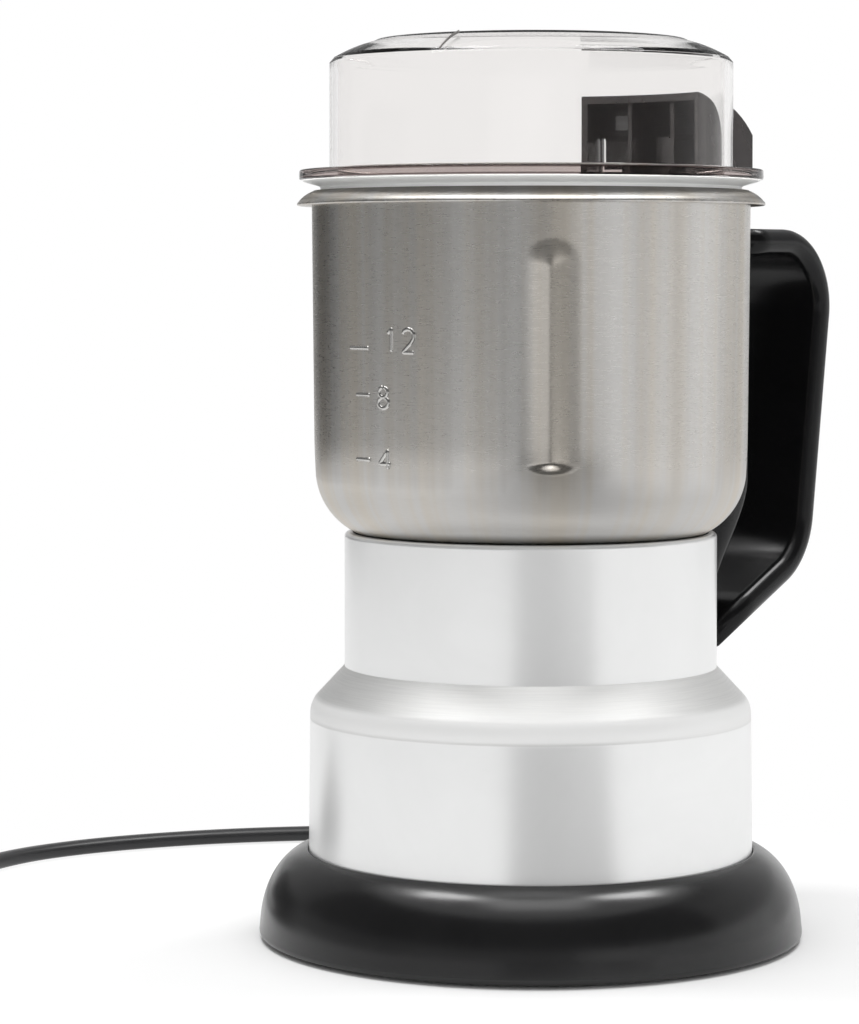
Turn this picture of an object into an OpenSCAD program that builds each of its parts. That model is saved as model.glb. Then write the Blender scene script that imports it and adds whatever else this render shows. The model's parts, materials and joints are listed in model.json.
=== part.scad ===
// Electric spice grinder with a press-down lid.
// A fixed steel bowl stands on a stepped motor body. A hollow handle column holds the
// push rod and the safety switch that the hood on the lid works.
// Origin: centre of the foot ring in the table plane, +Z up, the handle towards +X.

/* [Base] */
// Widest diameter of the black base
base_d = 127.6; // [124:0.2:134]
// Height of the base where it meets the body
base_h = 22.6; // [21:0.2:26]
// Wall of the base
base_wall = 2.6; // [2:0.1:3.2]
// How far the rubber foot ring stands out under the base
foot_proud = 0.8; // [0.6:0.1:1.2]
// Width of the rubber foot ring
foot_w = 5.6; // [4.6:0.2:6]

/* [Body] */
// Diameter of the lower body
lower_d = 104; // [102:0.2:106]
// Height of the lower body above the base
lower_h = 32.7; // [30:0.1:36]
// Diameter of the neck
neck_d = 87.4; // [86:0.2:89]
// Height of the sloping step between lower body and neck
step_h = 8.6; // [7:0.1:10]
// Height of the neck
neck_h = 31.4; // [30:0.2:34]
// Sheet thickness of the body
body_wall = 1.2; // [1:0.1:1.5]

/* [Bowl] */
// Outside diameter of the bowl under its rim
bowl_d = 102.6; // [101:0.2:104]
// Height of the bowl from its underside to the top of the rim
bowl_h = 81.5; // [78:0.5:86]
// Outside radius between the bowl's wall and floor
bowl_corner = 16.5; // [15:0.5:18]
// Sheet thickness of the bowl
bowl_wall = 1; // [0.8:0.1:1.2]
// Depth of the two pressed grooves
groove_depth = 1.8; // [1:0.1:2.2]
// How far the rolled rim stands out from the wall
rim_out = 3.5; // [3:0.1:4]

/* [Lid] */
// Distance of the lid's wall inside the bowl's outside
lid_inset = 4.1; // [3.8:0.1:5]
// How far the lid's flange stands out over the bowl's outside
flange_out = 3; // [2.6:0.1:3.4]
// Thickness of the flange
flange_t = 2.4; // [2:0.1:2.8]
// Height of the lid from the flange's underside
lid_h = 32.8; // [30:0.2:36]
// Wall of the lid
lid_wall = 1.8; // [1.5:0.1:2.2]
// Width of the sloping shoulder round the flat top
shoulder_w = 10.7; // [8:0.1:14]
// Gap between rim and flange that the seal fills
seal_gap = 2.4; // [2.2:0.1:3]
// How far the lid goes down when it is pressed
press_travel = 1.3; // [1:0.1:1.3]

/* [Hood] */
// Angle that the hood spans round the lid
hood_angle = 45; // [40:1:50]
// Height of the hood's inner edge above the flange
hood_h = 19.6; // [18:0.2:22]
// Wall of the hood
hood_wall = 1.8; // [1.5:0.1:2]

/* [Handle] */
// Width of the handle
handle_w = 42; // [40:0.5:44]
// Thickness of the handle's band
band_t = 6.5; // [5.5:0.1:7.5]
// Distance from the column's outer face to the grip's
loop_out = 36.1; // [34:0.1:42]
// Depth of the handle's top below the rim
handle_drop = 8.4; // [8:0.2:10]
// Outer radius of the handle's upper corner
handle_corner = 19.2; // [17:0.2:21]
// Lean of the grip from the vertical
grip_lean = 8; // [6:0.5:9]
// Slope of the lower arm below the horizontal
arm_slope = 25; // [22:1:28]
// How far the column stands out from the bowl
column_out = 10.2; // [9.8:0.1:11.5]
// Wall of the column
column_wall = 2.2; // [1.8:0.1:2.4]

/* [Blades] */
// Tip-to-tip length of the lower blade
lower_blade_l = 76; // [70:1:80]
// Tip-to-tip length of the upper blade
upper_blade_l = 62; // [56:1:66]
// Width of a blade
blade_w = 12; // [10:0.5:13]
// Thickness of a blade
blade_t = 1.4; // [1.2:0.1:1.6]

/* [Motor] */
// Diameter of the shaft
shaft_d = 6; // [5:0.5:7]
// Diameter of the rotor
rotor_d = 29; // [27:0.5:29.5]
// Length of the stack of laminations
stack_h = 22; // [20:1:24]
// Width of the stator
stator_w = 64; // [63:0.5:66]
// Depth of the stator
stator_depth = 48; // [46:1:50]
// Diameter of the fan
fan_d = 44; // [40:0.5:44]
// Number of fan vanes
fan_vanes = 10; // [7:1:12]
// Diameter of the commutator
commutator_d = 18; // [16:0.5:19]

/* [Cord] */
// Width of the flat cord
cord_w = 6; // [5.6:0.1:6.4]
// Thickness of the flat cord
cord_t = 3.8; // [3.4:0.1:4]

/* [Hidden] */
$fn = 96;
slack = 0.1;       // parts that only touch their neighbour
run = 0.05;        // radial play of a running fit
clear = 0.3;       // free space beside a moving part
eps = 0.02;        // overlap of cutters with the face they open

base_r = base_d / 2;
lower_r = lower_d / 2;
neck_r = neck_d / 2;
bowl_r = bowl_d / 2;
lid_r = bowl_r - lid_inset;
flange_r = bowl_r + flange_out;
column_reach = bowl_r + column_out;
handle_reach = column_reach + loop_out;
cavity_x = column_reach - column_wall;
shaft_r = shaft_d / 2;
rotor_r = rotor_d / 2;
commutator_r = commutator_d / 2;

// heights, from the table up
base_tilt = 7;
base_round = 12.6;
base_round_z = base_h + 0.3 - base_round;
ledge_z = 15;
ledge_t = 2.4;
cover_z = 2;
cover_t = 2.4;
step_z = base_h + lower_h;
neck_z = step_z + step_h;
body_top_z = neck_z + neck_h;
bowl_z = body_top_z - 1.6;
rim_z = bowl_z + bowl_h;
flange_z = rim_z + seal_gap;
flange_top_z = flange_z + flange_t;
lid_top_z = flange_z + lid_h;
gasket_t = 2;
deck_z = bowl_z - gasket_t;
deck_t = 3.2;

// body
body_draft = 0.2;
body_round = 6;
body_lip = 2;
body_edge = 1;

// bowl
bowl_taper = 0.6;
bowl_low_r = bowl_r - bowl_taper;
gasket_r = bowl_low_r - bowl_corner - 4.2;
lip_t = 1.1;
bush_hole_r = 8.2;
groove_r = 12;
groove_w_half = 5.8;
groove_low_z = bowl_z + 17.7;
groove_high_z = bowl_z + 70.6;
groove_turn = 43;

// lid and hood
skirt_depth = 6.4;
skirt_r = lid_r - 0.3;
shoulder_z = lid_top_z - 4.8;
shoulder_bulge = 0.5;
wiper_r = bowl_r - bowl_wall - 2 * run;
hood_in_r = lid_r + 0.2;
hood_out_r = column_reach + 0.3;
roof_in = 3.7;
hood_side_h = 9.6;
window_w = 6;
window_h = 1.3;
window_angles = [-17.6, -6.5, 6.5, 17.6];
slit_w = 0.9;

// prong, rod and switch in the column
prong_t = 3.6;
prong_w = 6.4;
handle_top_z = rim_z - handle_drop;
rod_top_z = handle_top_z - 2.9;
rod_x = cavity_x - 2.4;
prong_x = rod_x + 0.2;
rod_head_t = 4.4;
rod_head_w = 7;
rod_stem_r = 1.3;
rod_step = 1.1;
rod_step_h = 2;
column_bend_z = bowl_z + 12.3;
switch_top_z = column_bend_z + 11.9;
shelf_z = switch_top_z + 13;
shelf_t = 2.4;
spring_l = 17;
rod_head_h = rod_top_z - shelf_z - spring_l;
switch_h = 10;
switch_l = 20;
switch_x = cavity_x - 5.8;
switch_y = -16;
pivot_y = -14;
pivot_up = 0.6;
pivot_r = 0.6;
lever_arm = 14;
lever_t = 0.5;
stud_r = 1.8;
stud_y = 8.2;
stud_z = [shelf_z + 6.5, rod_top_z - 8];
stud_root_x = bowl_r - 1.45;
stud_l = column_out - 3;
boss_r = 3.3;
guide_t = 1.3;
liner_r = bowl_r + 1.7;
lever_angle = asin(press_travel / lever_arm);
rod_tip_z = switch_top_z + pivot_up + press_travel + lever_t / 2 + slack;
button_arm = 6;
button_t = 2.4;
button_w = 2;
spring_wire_r = 0.3;
spring_r = 1.95;

// handle loop
half_w = handle_w / 2;
column_foot_z = column_bend_z - 30;
column_foot_r = neck_r + 2.8;
column_in = neck_r - 13.7;
column_floor_z = column_foot_z + 7.5;
handle_screw_z = [column_foot_z - 8, column_foot_z + 4];
handle_screw_l = 3.2;
handle_seat_x = neck_r - body_wall - slack;
wire_hole_r = 2.2;
wire_hole_z = column_foot_z + 10;
loop_round = 2.4;
corner_c = [handle_reach - handle_corner, handle_top_z - handle_corner];
low_corner = 20.6;
arm_root_x = column_foot_r - 1.5;
grip_l = 50.9;

// drive line
bush_flange_r = 11.5;
bush_r = 8;
bush_top_z = bowl_z + bowl_wall + 1.8;
blade_z = bush_top_z + 5.6;
bush_nut_h = 4;
thread_l = 13;
blade_nut_r = 4.9;
blade_nut_h = 4.2;
shaft_top_z = blade_z + thread_l;
thread_r = 2.5;
edge_t = 0.2;
ground_w = 3;
tip_clip = 6;
lower_flat = 24;
lower_crank = 22;
upper_flat = 15;
upper_crank = 38;
upper_bearing_z = deck_z - deck_t - 12;
upper_bearing_h = 6;
upper_bearing_r = 8;
fan_z = upper_bearing_z - 4.6;
fan_h = 3.6;
winding_h = 5.5;
stack_z = fan_z - 0.4 - winding_h - stack_h;
commutator_h = 10;
commutator_z = stack_z - winding_h - 1.5 - commutator_h;
lower_bearing_h = 7;
lower_bearing_r = 6.5;
lower_bearing_z = commutator_z - 2 - lower_bearing_h;
shaft_low_z = lower_bearing_z - 1;
bridge_z = lower_bearing_z + 2;
bracket_t = 2;
bolt_r = 1.9;
bolt_x = 27;
bolt_bite = 8;
bore_gap = 0.6;
coil_x = rotor_r + 2.7;
coil_y = stator_depth / 2 - 11.4;
coil_end_y = stator_depth / 2 - 6.3;
coil_wire_w = 6;
coil_wire_d = 8;
coil_end_h = 4.1;
coil_end_gap = 0.4;
brush_l = 11;
brush_w = 6;
brush_h = 5;
holder_wall = 1;
holder_l = 21;
brush_z = commutator_z + commutator_h / 2;

// electrics in the base
board_x = [-34, -12];
board_t = 1.6;
board_z = 7.2;

// screws and posts
screw_r = 1.3;
screw_head_r = 2.9;
screw_head_h = 1.8;
post_r = 3.6;
post_h = 5;
cover_ring = base_r - 13.8;
foot_mid_r = base_r - 7.3;
foot_bead = 1.2;
chassis_ring = neck_r - body_wall - 4.5;
leg_angles = [65, 115, 245, 295];

// cord
cord_exit_z = 9.8;
relief_r = 4.3;
relief_flange_r = 5.2;
relief_room = 12;
relief_in = 8.4;
relief_l = 9.2;
relief_nose_l = 4;
clamp_x = [base_r - 27.8, base_r - 19.8];
clamp_w_half = 9.6;
clamp_screw_y = 6.6;
clamp_top_z = cord_exit_z + cord_t / 2 + 2.2;
cord_low = cord_t / 2 + 0.15;
cord_route = [[clamp_x[0] - 3, 0, cord_exit_z], [base_r + 6.2, 0, cord_exit_z], [80, 1, 8.4],
    [90, 4, 5.6], [99, 10, 3.2], [106, 19, 2.3], [111, 32, cord_low], [111, 50, cord_low],
    [105, 72, cord_low], [94, 94, cord_low], [79, 115, cord_low], [63, 132, cord_low], [43, 146, cord_low],
    [21, 159, cord_low], [-3, 166, cord_low], [-18, 163.5, cord_low], [-32, 158.5, cord_low]];
plug_h = 15;
coil_c = [-52, 195];
coil_r = 32;
coil_w = 12.6;
coil_h = 7.9;
tie_t = 0.8;
coil_mid_z = coil_h / 2 + tie_t + slack;
tail_route = [[-91, 209.5, cord_low], [-92, 220, 2.6], [-86, 232, 4.8],
    [-74.2, 240.8, plug_h / 2 + 0.1]];
plug_at = [-73.8, 241.2];
plug_turn = 42;
plug_l = 30;
plug_w = 23;
blade_gap = 12.7;
pin_w = 6.3;
pin_t = 1.5;
pin_l = 17.5;

// ---------------------------------------------------------------- helpers

function arc(c, r, a0, a1, n) = [for (i = [0:n]) let (a = a0 + (a1 - a0) * i / n)
    c + r * [cos(a), sin(a)]];

// a smooth step from 0 to 1
function ease(t) = t * t * (3 - 2 * t);

// points spread along a route by a Catmull-Rom curve
function bend(a, b, c, d, t) = 0.5 * (2 * b + (c - a) * t + (2 * a - 5 * b + 4 * c - d) * t * t
    + (3 * b - a - 3 * c + d) * t * t * t);
function smooth(p, n) = [for (i = [0:len(p) - 2], k = [0:n - 1])
    bend(p[max(i - 1, 0)], p[i], p[i + 1], p[min(i + 2, len(p) - 1)], k / n), p[len(p) - 1]];

module ring(r_out, r_in, z, h) {
    translate([0, 0, z]) difference() {
        cylinder(r = r_out, h = h);
        translate([0, 0, -1]) cylinder(r = r_in, h = h + 2);
    }
}

module block(x, y, z) {
    translate([x[0], y[0], z[0]]) cube([x[1] - x[0], y[1] - y[0], z[1] - z[0]]);
}

module rounded(w, h, r) {
    square([w - 2 * r, h], center = true);
    square([w, h - 2 * r], center = true);
    for (x = [-1, 1], y = [-1, 1]) translate([x * (w / 2 - r), y * (h / 2 - r)]) circle(r = r, $fn = 48);
}

// a screw standing on its head, the tip upwards
module screw(r, l, head_r, head_h) {
    cylinder(r = head_r, h = head_h, $fn = 32);
    translate([0, 0, head_h - eps]) cylinder(r = r, h = l + eps, $fn = 32);
}

// a closed skin over rings of points, each ring turning clockwise as seen from the next
module skin(rings) {
    n = len(rings);
    m = len(rings[0]);
    walls = [for (i = [0:n - 2], k = [0:m - 1])
        [i * m + k, i * m + (k + 1) % m, (i + 1) * m + (k + 1) % m, (i + 1) * m + k]];
    caps = [[for (k = [0:m - 1]) m - 1 - k], [for (k = [0:m - 1]) (n - 1) * m + k]];
    polyhedron(points = [for (r = rings) each r], faces = concat(walls, caps), convexity = 8);
}

// a tube with an oval section that follows a route lying nearly flat
module flat_tube(route, w, t, sides) {
    p = smooth(route, 4);
    n = len(p);
    function along(i) = let (d = p[min(i + 1, n - 1)] - p[max(i - 1, 0)]) d / norm(d);
    function side(d) = [-d[1], d[0], 0] / norm([d[0], d[1]]);
    corner = 180 / sides;
    skin([for (i = [0:n - 1]) let (d = along(i), s = side(d), u = cross(d, s))
        [for (k = [0:sides - 1]) let (a = 2 * corner * k + corner)
            p[i] + (t / 2 * sin(a) * u - w / 2 * cos(a) * s) / cos(corner)]]);
}

// a round wire wound round Z
module coil_spring(r, wire_r, h, turns, steps, sides) {
    n = turns * steps;
    skin([for (i = [0:n]) let (a = 360 * i / steps, out = [cos(a), sin(a), 0],
        c = r * out + [0, 0, wire_r + (h - 2 * wire_r) * i / n])
        [for (k = [0:sides - 1]) let (b = 360 * k / sides) c + wire_r * (cos(b) * out + [0, 0, sin(b)])]]);
}

// ---------------------------------------------------------------- base

// half-section of the base moved inwards by the inset
module base_section(inset, low) {
    wall_low = foot_proud + 1.3;
    centre_r = base_r - (base_round_z - wall_low) * tan(base_tilt) - base_round / cos(base_tilt);
    polygon(concat([[0, low], [base_r - 1 - inset, low], [base_r - inset, low + 1.3]],
        arc([centre_r, base_round_z], base_round - inset, base_tilt, 90, 18),
        [[0, base_h + 0.3 - inset]]));
}

module base_skirt() color([0.04, 0.04, 0.045]) difference() {
    union() {
        difference() {
            rotate_extrude() base_section(0, foot_proud);
            rotate_extrude() base_section(base_wall, -1);
        }
        ring(base_r - base_wall - 1.2, lower_r - 5, ledge_z - ledge_t, ledge_t);
        for (a = [0:90:270]) rotate(a + 45) translate([cover_ring, 0, cover_z + cover_t])
            cylinder(r = post_r, h = ledge_z - ledge_t - cover_z - cover_t + eps, $fn = 48);
    }
    translate([0, 0, ledge_z]) cylinder(r = lower_r + body_draft + slack, h = base_h);
    for (a = [0:90:270]) rotate(a + 45) translate([cover_ring, 0, 0])
        cylinder(r = screw_r, h = ledge_z - ledge_t, $fn = 32);
    translate([base_r - relief_room, 0, cord_exit_z]) rotate([0, 90, 0]) {
        cylinder(r = relief_r + slack, h = 2 * relief_room, $fn = 48);
        cylinder(r = relief_flange_r + clear, h = relief_room - 4, $fn = 48);
    }
}

module bottom_cover() color([0.05, 0.05, 0.05]) difference() {
    union() {
        translate([0, 0, cover_z]) cylinder(r = base_r - base_wall - 0.8, h = cover_t);
        for (a = leg_angles) rotate(a) translate([chassis_ring, 0, cover_z + cover_t - eps])
            cylinder(r = post_r, h = post_h + eps, $fn = 48);
        // pegs under the circuit board
        for (x = [board_x[0] + 3, board_x[1] - 3], y = [-13, 13]) translate([x, y, cover_z + cover_t - eps])
            cylinder(r = 2, h = board_z - cover_z - cover_t + eps, $fn = 32);
        // saddle that the cord is clamped on
        block(clamp_x, [-clamp_w_half, clamp_w_half], [cover_z + cover_t - eps, cord_exit_z]);
    }
    for (a = [0:90:270]) rotate(a + 45) translate([cover_ring, 0, 0]) screw_hole();
    for (a = leg_angles) rotate(a) translate([chassis_ring, 0, 0]) screw_hole();
    // groove for the foot ring's bead
    ring(foot_mid_r + foot_w / 4 + slack, foot_mid_r - foot_w / 4 - slack, cover_z - 1,
        foot_bead + 1 + slack);
    // air slots
    for (a = [0:30:330]) rotate(a) block([7, 17], [-1.1, 1.1], [cover_z - 1, cover_z + cover_t + 1]);
    cord_slot(clamp_x[0] - 1, clamp_x[1] + 1);
    for (y = [-1, 1]) translate([clamp_x[0] + 4, y * clamp_screw_y, cover_z + cover_t])
        cylinder(r = screw_r, h = 9, $fn = 32);
}

// clearance for a screw with its head sunk in the cover
module screw_hole() {
    translate([0, 0, cover_z]) {
        cylinder(r = screw_r + clear, h = 12, $fn = 32);
        translate([0, 0, -1]) cylinder(r = screw_head_r + clear, h = screw_head_h + 1, $fn = 32);
    }
}

module cord_slot(x0, x1) block([x0, x1], [-cord_w / 2 - slack, cord_w / 2 + slack],
    [cord_exit_z - cord_t / 2 - slack, cord_exit_z + cord_t / 2 + slack]);

module foot_ring() color([0.1, 0.1, 0.1]) {
    ring(foot_mid_r + foot_w / 2, foot_mid_r - foot_w / 2, 0, cover_z);
    ring(foot_mid_r + foot_w / 4, foot_mid_r - foot_w / 4, cover_z - eps, foot_bead + eps);
}

module bottom_screws() color([0.6, 0.6, 0.62]) for (a = [0:90:270]) rotate(a + 45)
    translate([cover_ring, 0, cover_z]) screw(screw_r - slack / 2, 8, screw_head_r, screw_head_h);

// ---------------------------------------------------------------- body

// half-section of the spun body moved inwards by the inset
module body_section(inset, low) {
    slope = atan((lower_r - neck_r) / step_h);
    tangent = body_round * tan(slope / 2);
    edge = body_edge - min(inset, body_edge - 0.05);
    polygon(concat([[0, low], [lower_r + body_draft - inset, low],
        [lower_r - body_draft - inset, step_z - tangent]],
        arc([lower_r - body_draft - body_round, step_z - tangent], body_round - inset, 0, slope, 8),
        [[neck_r - inset, neck_z - inset * 0.4]],
        arc([neck_r - inset - edge, body_top_z - inset - edge], edge, 0, 90, 6),
        [[0, body_top_z - inset]]));
}

module body_shell() color([0.86, 0.86, 0.87]) difference() {
    rotate_extrude() body_section(0, ledge_z);
    rotate_extrude() body_section(body_wall, ledge_z - 1);
    translate([0, 0, body_top_z - 5]) cylinder(r = neck_r - body_lip, h = 9);
    // two screw holes and the wire hole behind the handle
    for (z = handle_screw_z) translate([0, 0, z]) rotate([0, 90, 0])
        cylinder(r = screw_r + clear, h = neck_r + 2, $fn = 32);
    translate([0, 0, wire_hole_z]) rotate([0, 90, 0]) cylinder(r = wire_hole_r, h = neck_r + 2, $fn = 32);
}

module motor_chassis() color([0.75, 0.75, 0.72]) difference() {
    deck_r = neck_r - body_wall - 1.4;
    leg_low_z = cover_z + cover_t + post_h;
    union() {
        translate([0, 0, deck_z - deck_t]) cylinder(r = deck_r, h = deck_t);
        ring(deck_r, deck_r - 2.2, deck_z - 8, 8);
        // legs that carry the deck on the bottom cover
        for (a = leg_angles) rotate(a)
            block([chassis_ring - 3, chassis_ring + 3], [-6, 6], [leg_low_z, deck_z - deck_t + eps]);
        ring(chassis_ring + 4, chassis_ring - 4, leg_low_z, 3);
        // pads that take the upper bracket
        for (x = [-1, 1]) block([x * bolt_x - 5, x * bolt_x + 5], [-5, 5],
            [upper_bearing_z + bracket_t, deck_z - deck_t + eps]);
    }
    translate([0, 0, deck_z / 2]) cylinder(r = bush_r + slack, h = deck_z);
    for (a = leg_angles) rotate(a) translate([chassis_ring, 0, 0]) cylinder(r = screw_r, h = 24, $fn = 32);
    for (x = [-1, 1]) translate([x * bolt_x, 0, upper_bearing_z - 4]) cylinder(r = bolt_r, h = 12, $fn = 32);
    // the cord side is left open, and a notch lets the switch wires in
    block([clamp_x[0] - 4, base_r], [-10.5, 10.5], [cover_z, cord_exit_z + 6]);
    block([chassis_ring - 2, neck_r], [-wire_hole_r - 1, wire_hole_r + 1], [deck_z - 9, deck_z - deck_t]);
}

module chassis_screws() color([0.6, 0.6, 0.62]) for (a = leg_angles) rotate(a)
    translate([chassis_ring, 0, cover_z]) screw(screw_r - slack / 2, 14, screw_head_r, screw_head_h);

// ---------------------------------------------------------------- bowl

// outside and inside of the bowl as solids, so that the grooves press through both
module groove_cutter(r) for (a = [0, 180]) rotate(a + groove_turn)
    translate([bowl_r - 0.3 - groove_depth + groove_r, 0, 0]) {
        low = groove_low_z + groove_w_half;
        high = groove_high_z - groove_w_half;
        translate([0, 0, low]) cylinder(r = r, h = high - low);
        translate([0, 0, low]) sphere(r = r);
        translate([0, 0, high]) sphere(r = r);
    }

module bowl_outside() rotate_extrude() polygon(concat([[0, bowl_z], [bowl_low_r - bowl_corner, bowl_z]],
    arc([bowl_low_r - bowl_corner, bowl_z + bowl_corner], bowl_corner, -90, 0, 16),
    [[bowl_r, rim_z - 2.2], [0, rim_z - 2.2]]));

module bowl_inside() rotate_extrude() polygon(concat(
    [[0, bowl_z + bowl_wall], [bowl_low_r - bowl_corner, bowl_z + bowl_wall]],
    arc([bowl_low_r - bowl_corner, bowl_z + bowl_corner], bowl_corner - bowl_wall, -90, 0, 16),
    [[bowl_r - bowl_wall, rim_z - 0.8], [bowl_r - bowl_wall, rim_z + 1], [0, rim_z + 1]]));

// rolled rim: crest over the wall and a lip that curls down outside it
module rim_section() {
    round_r = rim_out - 0.3;
    centre = [bowl_r + 0.3, rim_z - 0.2 - round_r];
    polygon(concat([[bowl_r - bowl_wall, rim_z - 3], [bowl_r - bowl_wall, rim_z - 0.8],
        [bowl_r - bowl_wall + 0.35, rim_z - 0.1], [bowl_r - 0.4, rim_z]],
        arc(centre, round_r, 90, 0, 8), [centre + [round_r, -0.4], centre + [round_r - lip_t, -0.4]],
        arc(centre, round_r - lip_t, 0, 90, 6), [[bowl_r, rim_z - 1.4], [bowl_r, rim_z - 3]]));
}

module bowl() color([0.7, 0.69, 0.66]) difference() {
    union() {
        difference() {
            bowl_outside();
            difference() {
                bowl_inside();
                groove_cutter(groove_r + bowl_wall);
            }
        }
        rotate_extrude() rim_section();
        // welded studs that the column hangs on
        for (y = [-1, 1], z = stud_z) translate([stud_root_x, y * stud_y, z]) rotate([0, 90, 0])
            cylinder(r = stud_r, h = stud_l, $fn = 32);
    }
    groove_cutter(groove_r);
    translate([0, 0, bowl_z - 1]) cylinder(r = bush_hole_r, h = 4);
}

module bowl_gasket() color([0.15, 0.15, 0.15]) ring(gasket_r, gasket_r - 6, deck_z, gasket_t);

// ---------------------------------------------------------------- lid

module lid() color([0.9, 0.88, 0.88, 0.4]) rotate_extrude() polygon(concat(
    [[skirt_r - lid_wall, flange_z - skirt_depth], [skirt_r, flange_z - skirt_depth], [skirt_r, flange_z],
    [flange_r - 0.4, flange_z], [flange_r, flange_z + 0.5], [flange_r, flange_top_z - 0.5],
    [flange_r - 0.4, flange_top_z], [lid_r, flange_top_z], [lid_r, shoulder_z - 0.6],
    [lid_r - 0.4, shoulder_z]],
    [for (t = [0.25:0.25:0.75]) [lid_r - shoulder_w * t,
        shoulder_z + 4.4 * t + shoulder_bulge * sin(180 * t)]],
    [[lid_r - shoulder_w, lid_top_z - 0.2], [lid_r - shoulder_w - 1.5, lid_top_z], [0, lid_top_z],
    [0, lid_top_z - lid_wall], [lid_r - shoulder_w - 1, lid_top_z - lid_wall - 0.2],
    [skirt_r - lid_wall, shoulder_z - lid_wall * 0.6]]));

// a wiper that slides in the bowl, and a cone over the rim
module lid_seal() color([0.93, 0.93, 0.92]) rotate_extrude() polygon([
    [skirt_r, flange_z], [skirt_r, flange_z - 5.6], [skirt_r + 1, flange_z - 6],
    [wiper_r, flange_z - 4.8], [wiper_r, rim_z - 1.2], [wiper_r - 0.9, rim_z - 0.4],
    [wiper_r - 0.9, rim_z + 0.9], [flange_r - 0.8, flange_z - 0.05], [flange_r - 0.8, flange_z]]);

// outer half-section of the hood, moved inwards by the inset
module hood_section(inset, low) {
    roof_c = [hood_in_r - roof_in, flange_top_z - 0.8];
    top = flange_top_z + hood_h - inset;
    roof_r = norm([hood_in_r - roof_c[0], flange_top_z + hood_h - roof_c[1]]) - inset;
    side_z = roof_c[1] + sqrt(pow(roof_r, 2) - pow(hood_out_r - inset - roof_c[0], 2));
    a0 = asin((side_z - roof_c[1]) / roof_r);
    a1 = acos((hood_in_r - roof_c[0] - (inset > 0 ? 1 : 0)) / roof_r);
    polygon(concat([[hood_in_r - (inset > 0 ? 1 : 0), low], [hood_out_r - inset, low]],
        arc(roof_c, roof_r, a0, a1, 10)));
}

module lid_hood() color([0.05, 0.05, 0.05]) {
    half = hood_angle / 2;
    difference() {
        rotate(-half) rotate_extrude(angle = hood_angle) hood_section(0, flange_top_z);
        rotate(-half + 1.9) rotate_extrude(angle = hood_angle - 3.8)
            hood_section(hood_wall, flange_top_z - 1);
        // low windows in the outer wall
        for (a = window_angles) rotate(a) block([hood_out_r - 4, hood_out_r + 4],
            [-window_w / 2, window_w / 2], [flange_top_z + 0.6, flange_top_z + 0.6 + window_h]);
        // relief slits beside the end walls
        for (s = [-1, 1]) rotate(s * (half - 2.6)) block([hood_out_r - 6, hood_out_r + 4],
            [-slit_w / 2, slit_w / 2], [flange_top_z + 0.6, flange_top_z + hood_side_h]);
    }
    // rib and prong that reach down into the column
    block([prong_x - prong_t / 2, hood_out_r - hood_wall + 0.3], [-prong_w / 2, prong_w / 2],
        [flange_top_z, flange_top_z + hood_side_h]);
    block([prong_x - prong_t / 2, prong_x + prong_t / 2], [-prong_w / 2, prong_w / 2],
        [rod_top_z + slack, flange_top_z + 1]);
}

// ---------------------------------------------------------------- handle

// side outline of the column: upright beside the bowl, then swept in under it
module column_outline(inset, top, foot) {
    polygon(concat([[column_in, foot], [column_foot_r - inset, foot]],
        [for (i = [0:12]) [column_foot_r + (column_reach - column_foot_r) * ease(i / 12) - inset,
            column_foot_z + (column_bend_z - column_foot_z) * i / 12]],
        [[column_reach - inset, top], [column_in, top]]));
}

module upright(w) rotate([90, 0, 0]) translate([0, 0, -w / 2]) linear_extrude(w) children();

// the space that bowl, rim and body take, with a little play
module kept_clear(play) {
    rotate_extrude() polygon(concat([[0, bowl_z], [bowl_low_r - bowl_corner, bowl_z - play]],
        arc([bowl_low_r - bowl_corner, bowl_z + bowl_corner], bowl_corner + play, -90, 0, 16),
        [[bowl_r + play, rim_z], [0, rim_z]]));
    translate([0, 0, base_h]) cylinder(r = neck_r + play, h = body_top_z + 4 - base_h);
    rotate_extrude() polygon([[0, base_h], [lower_r + play, base_h], [lower_r + play, step_z],
        [neck_r + play, neck_z + play], [0, neck_z + play]]);
}

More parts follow.
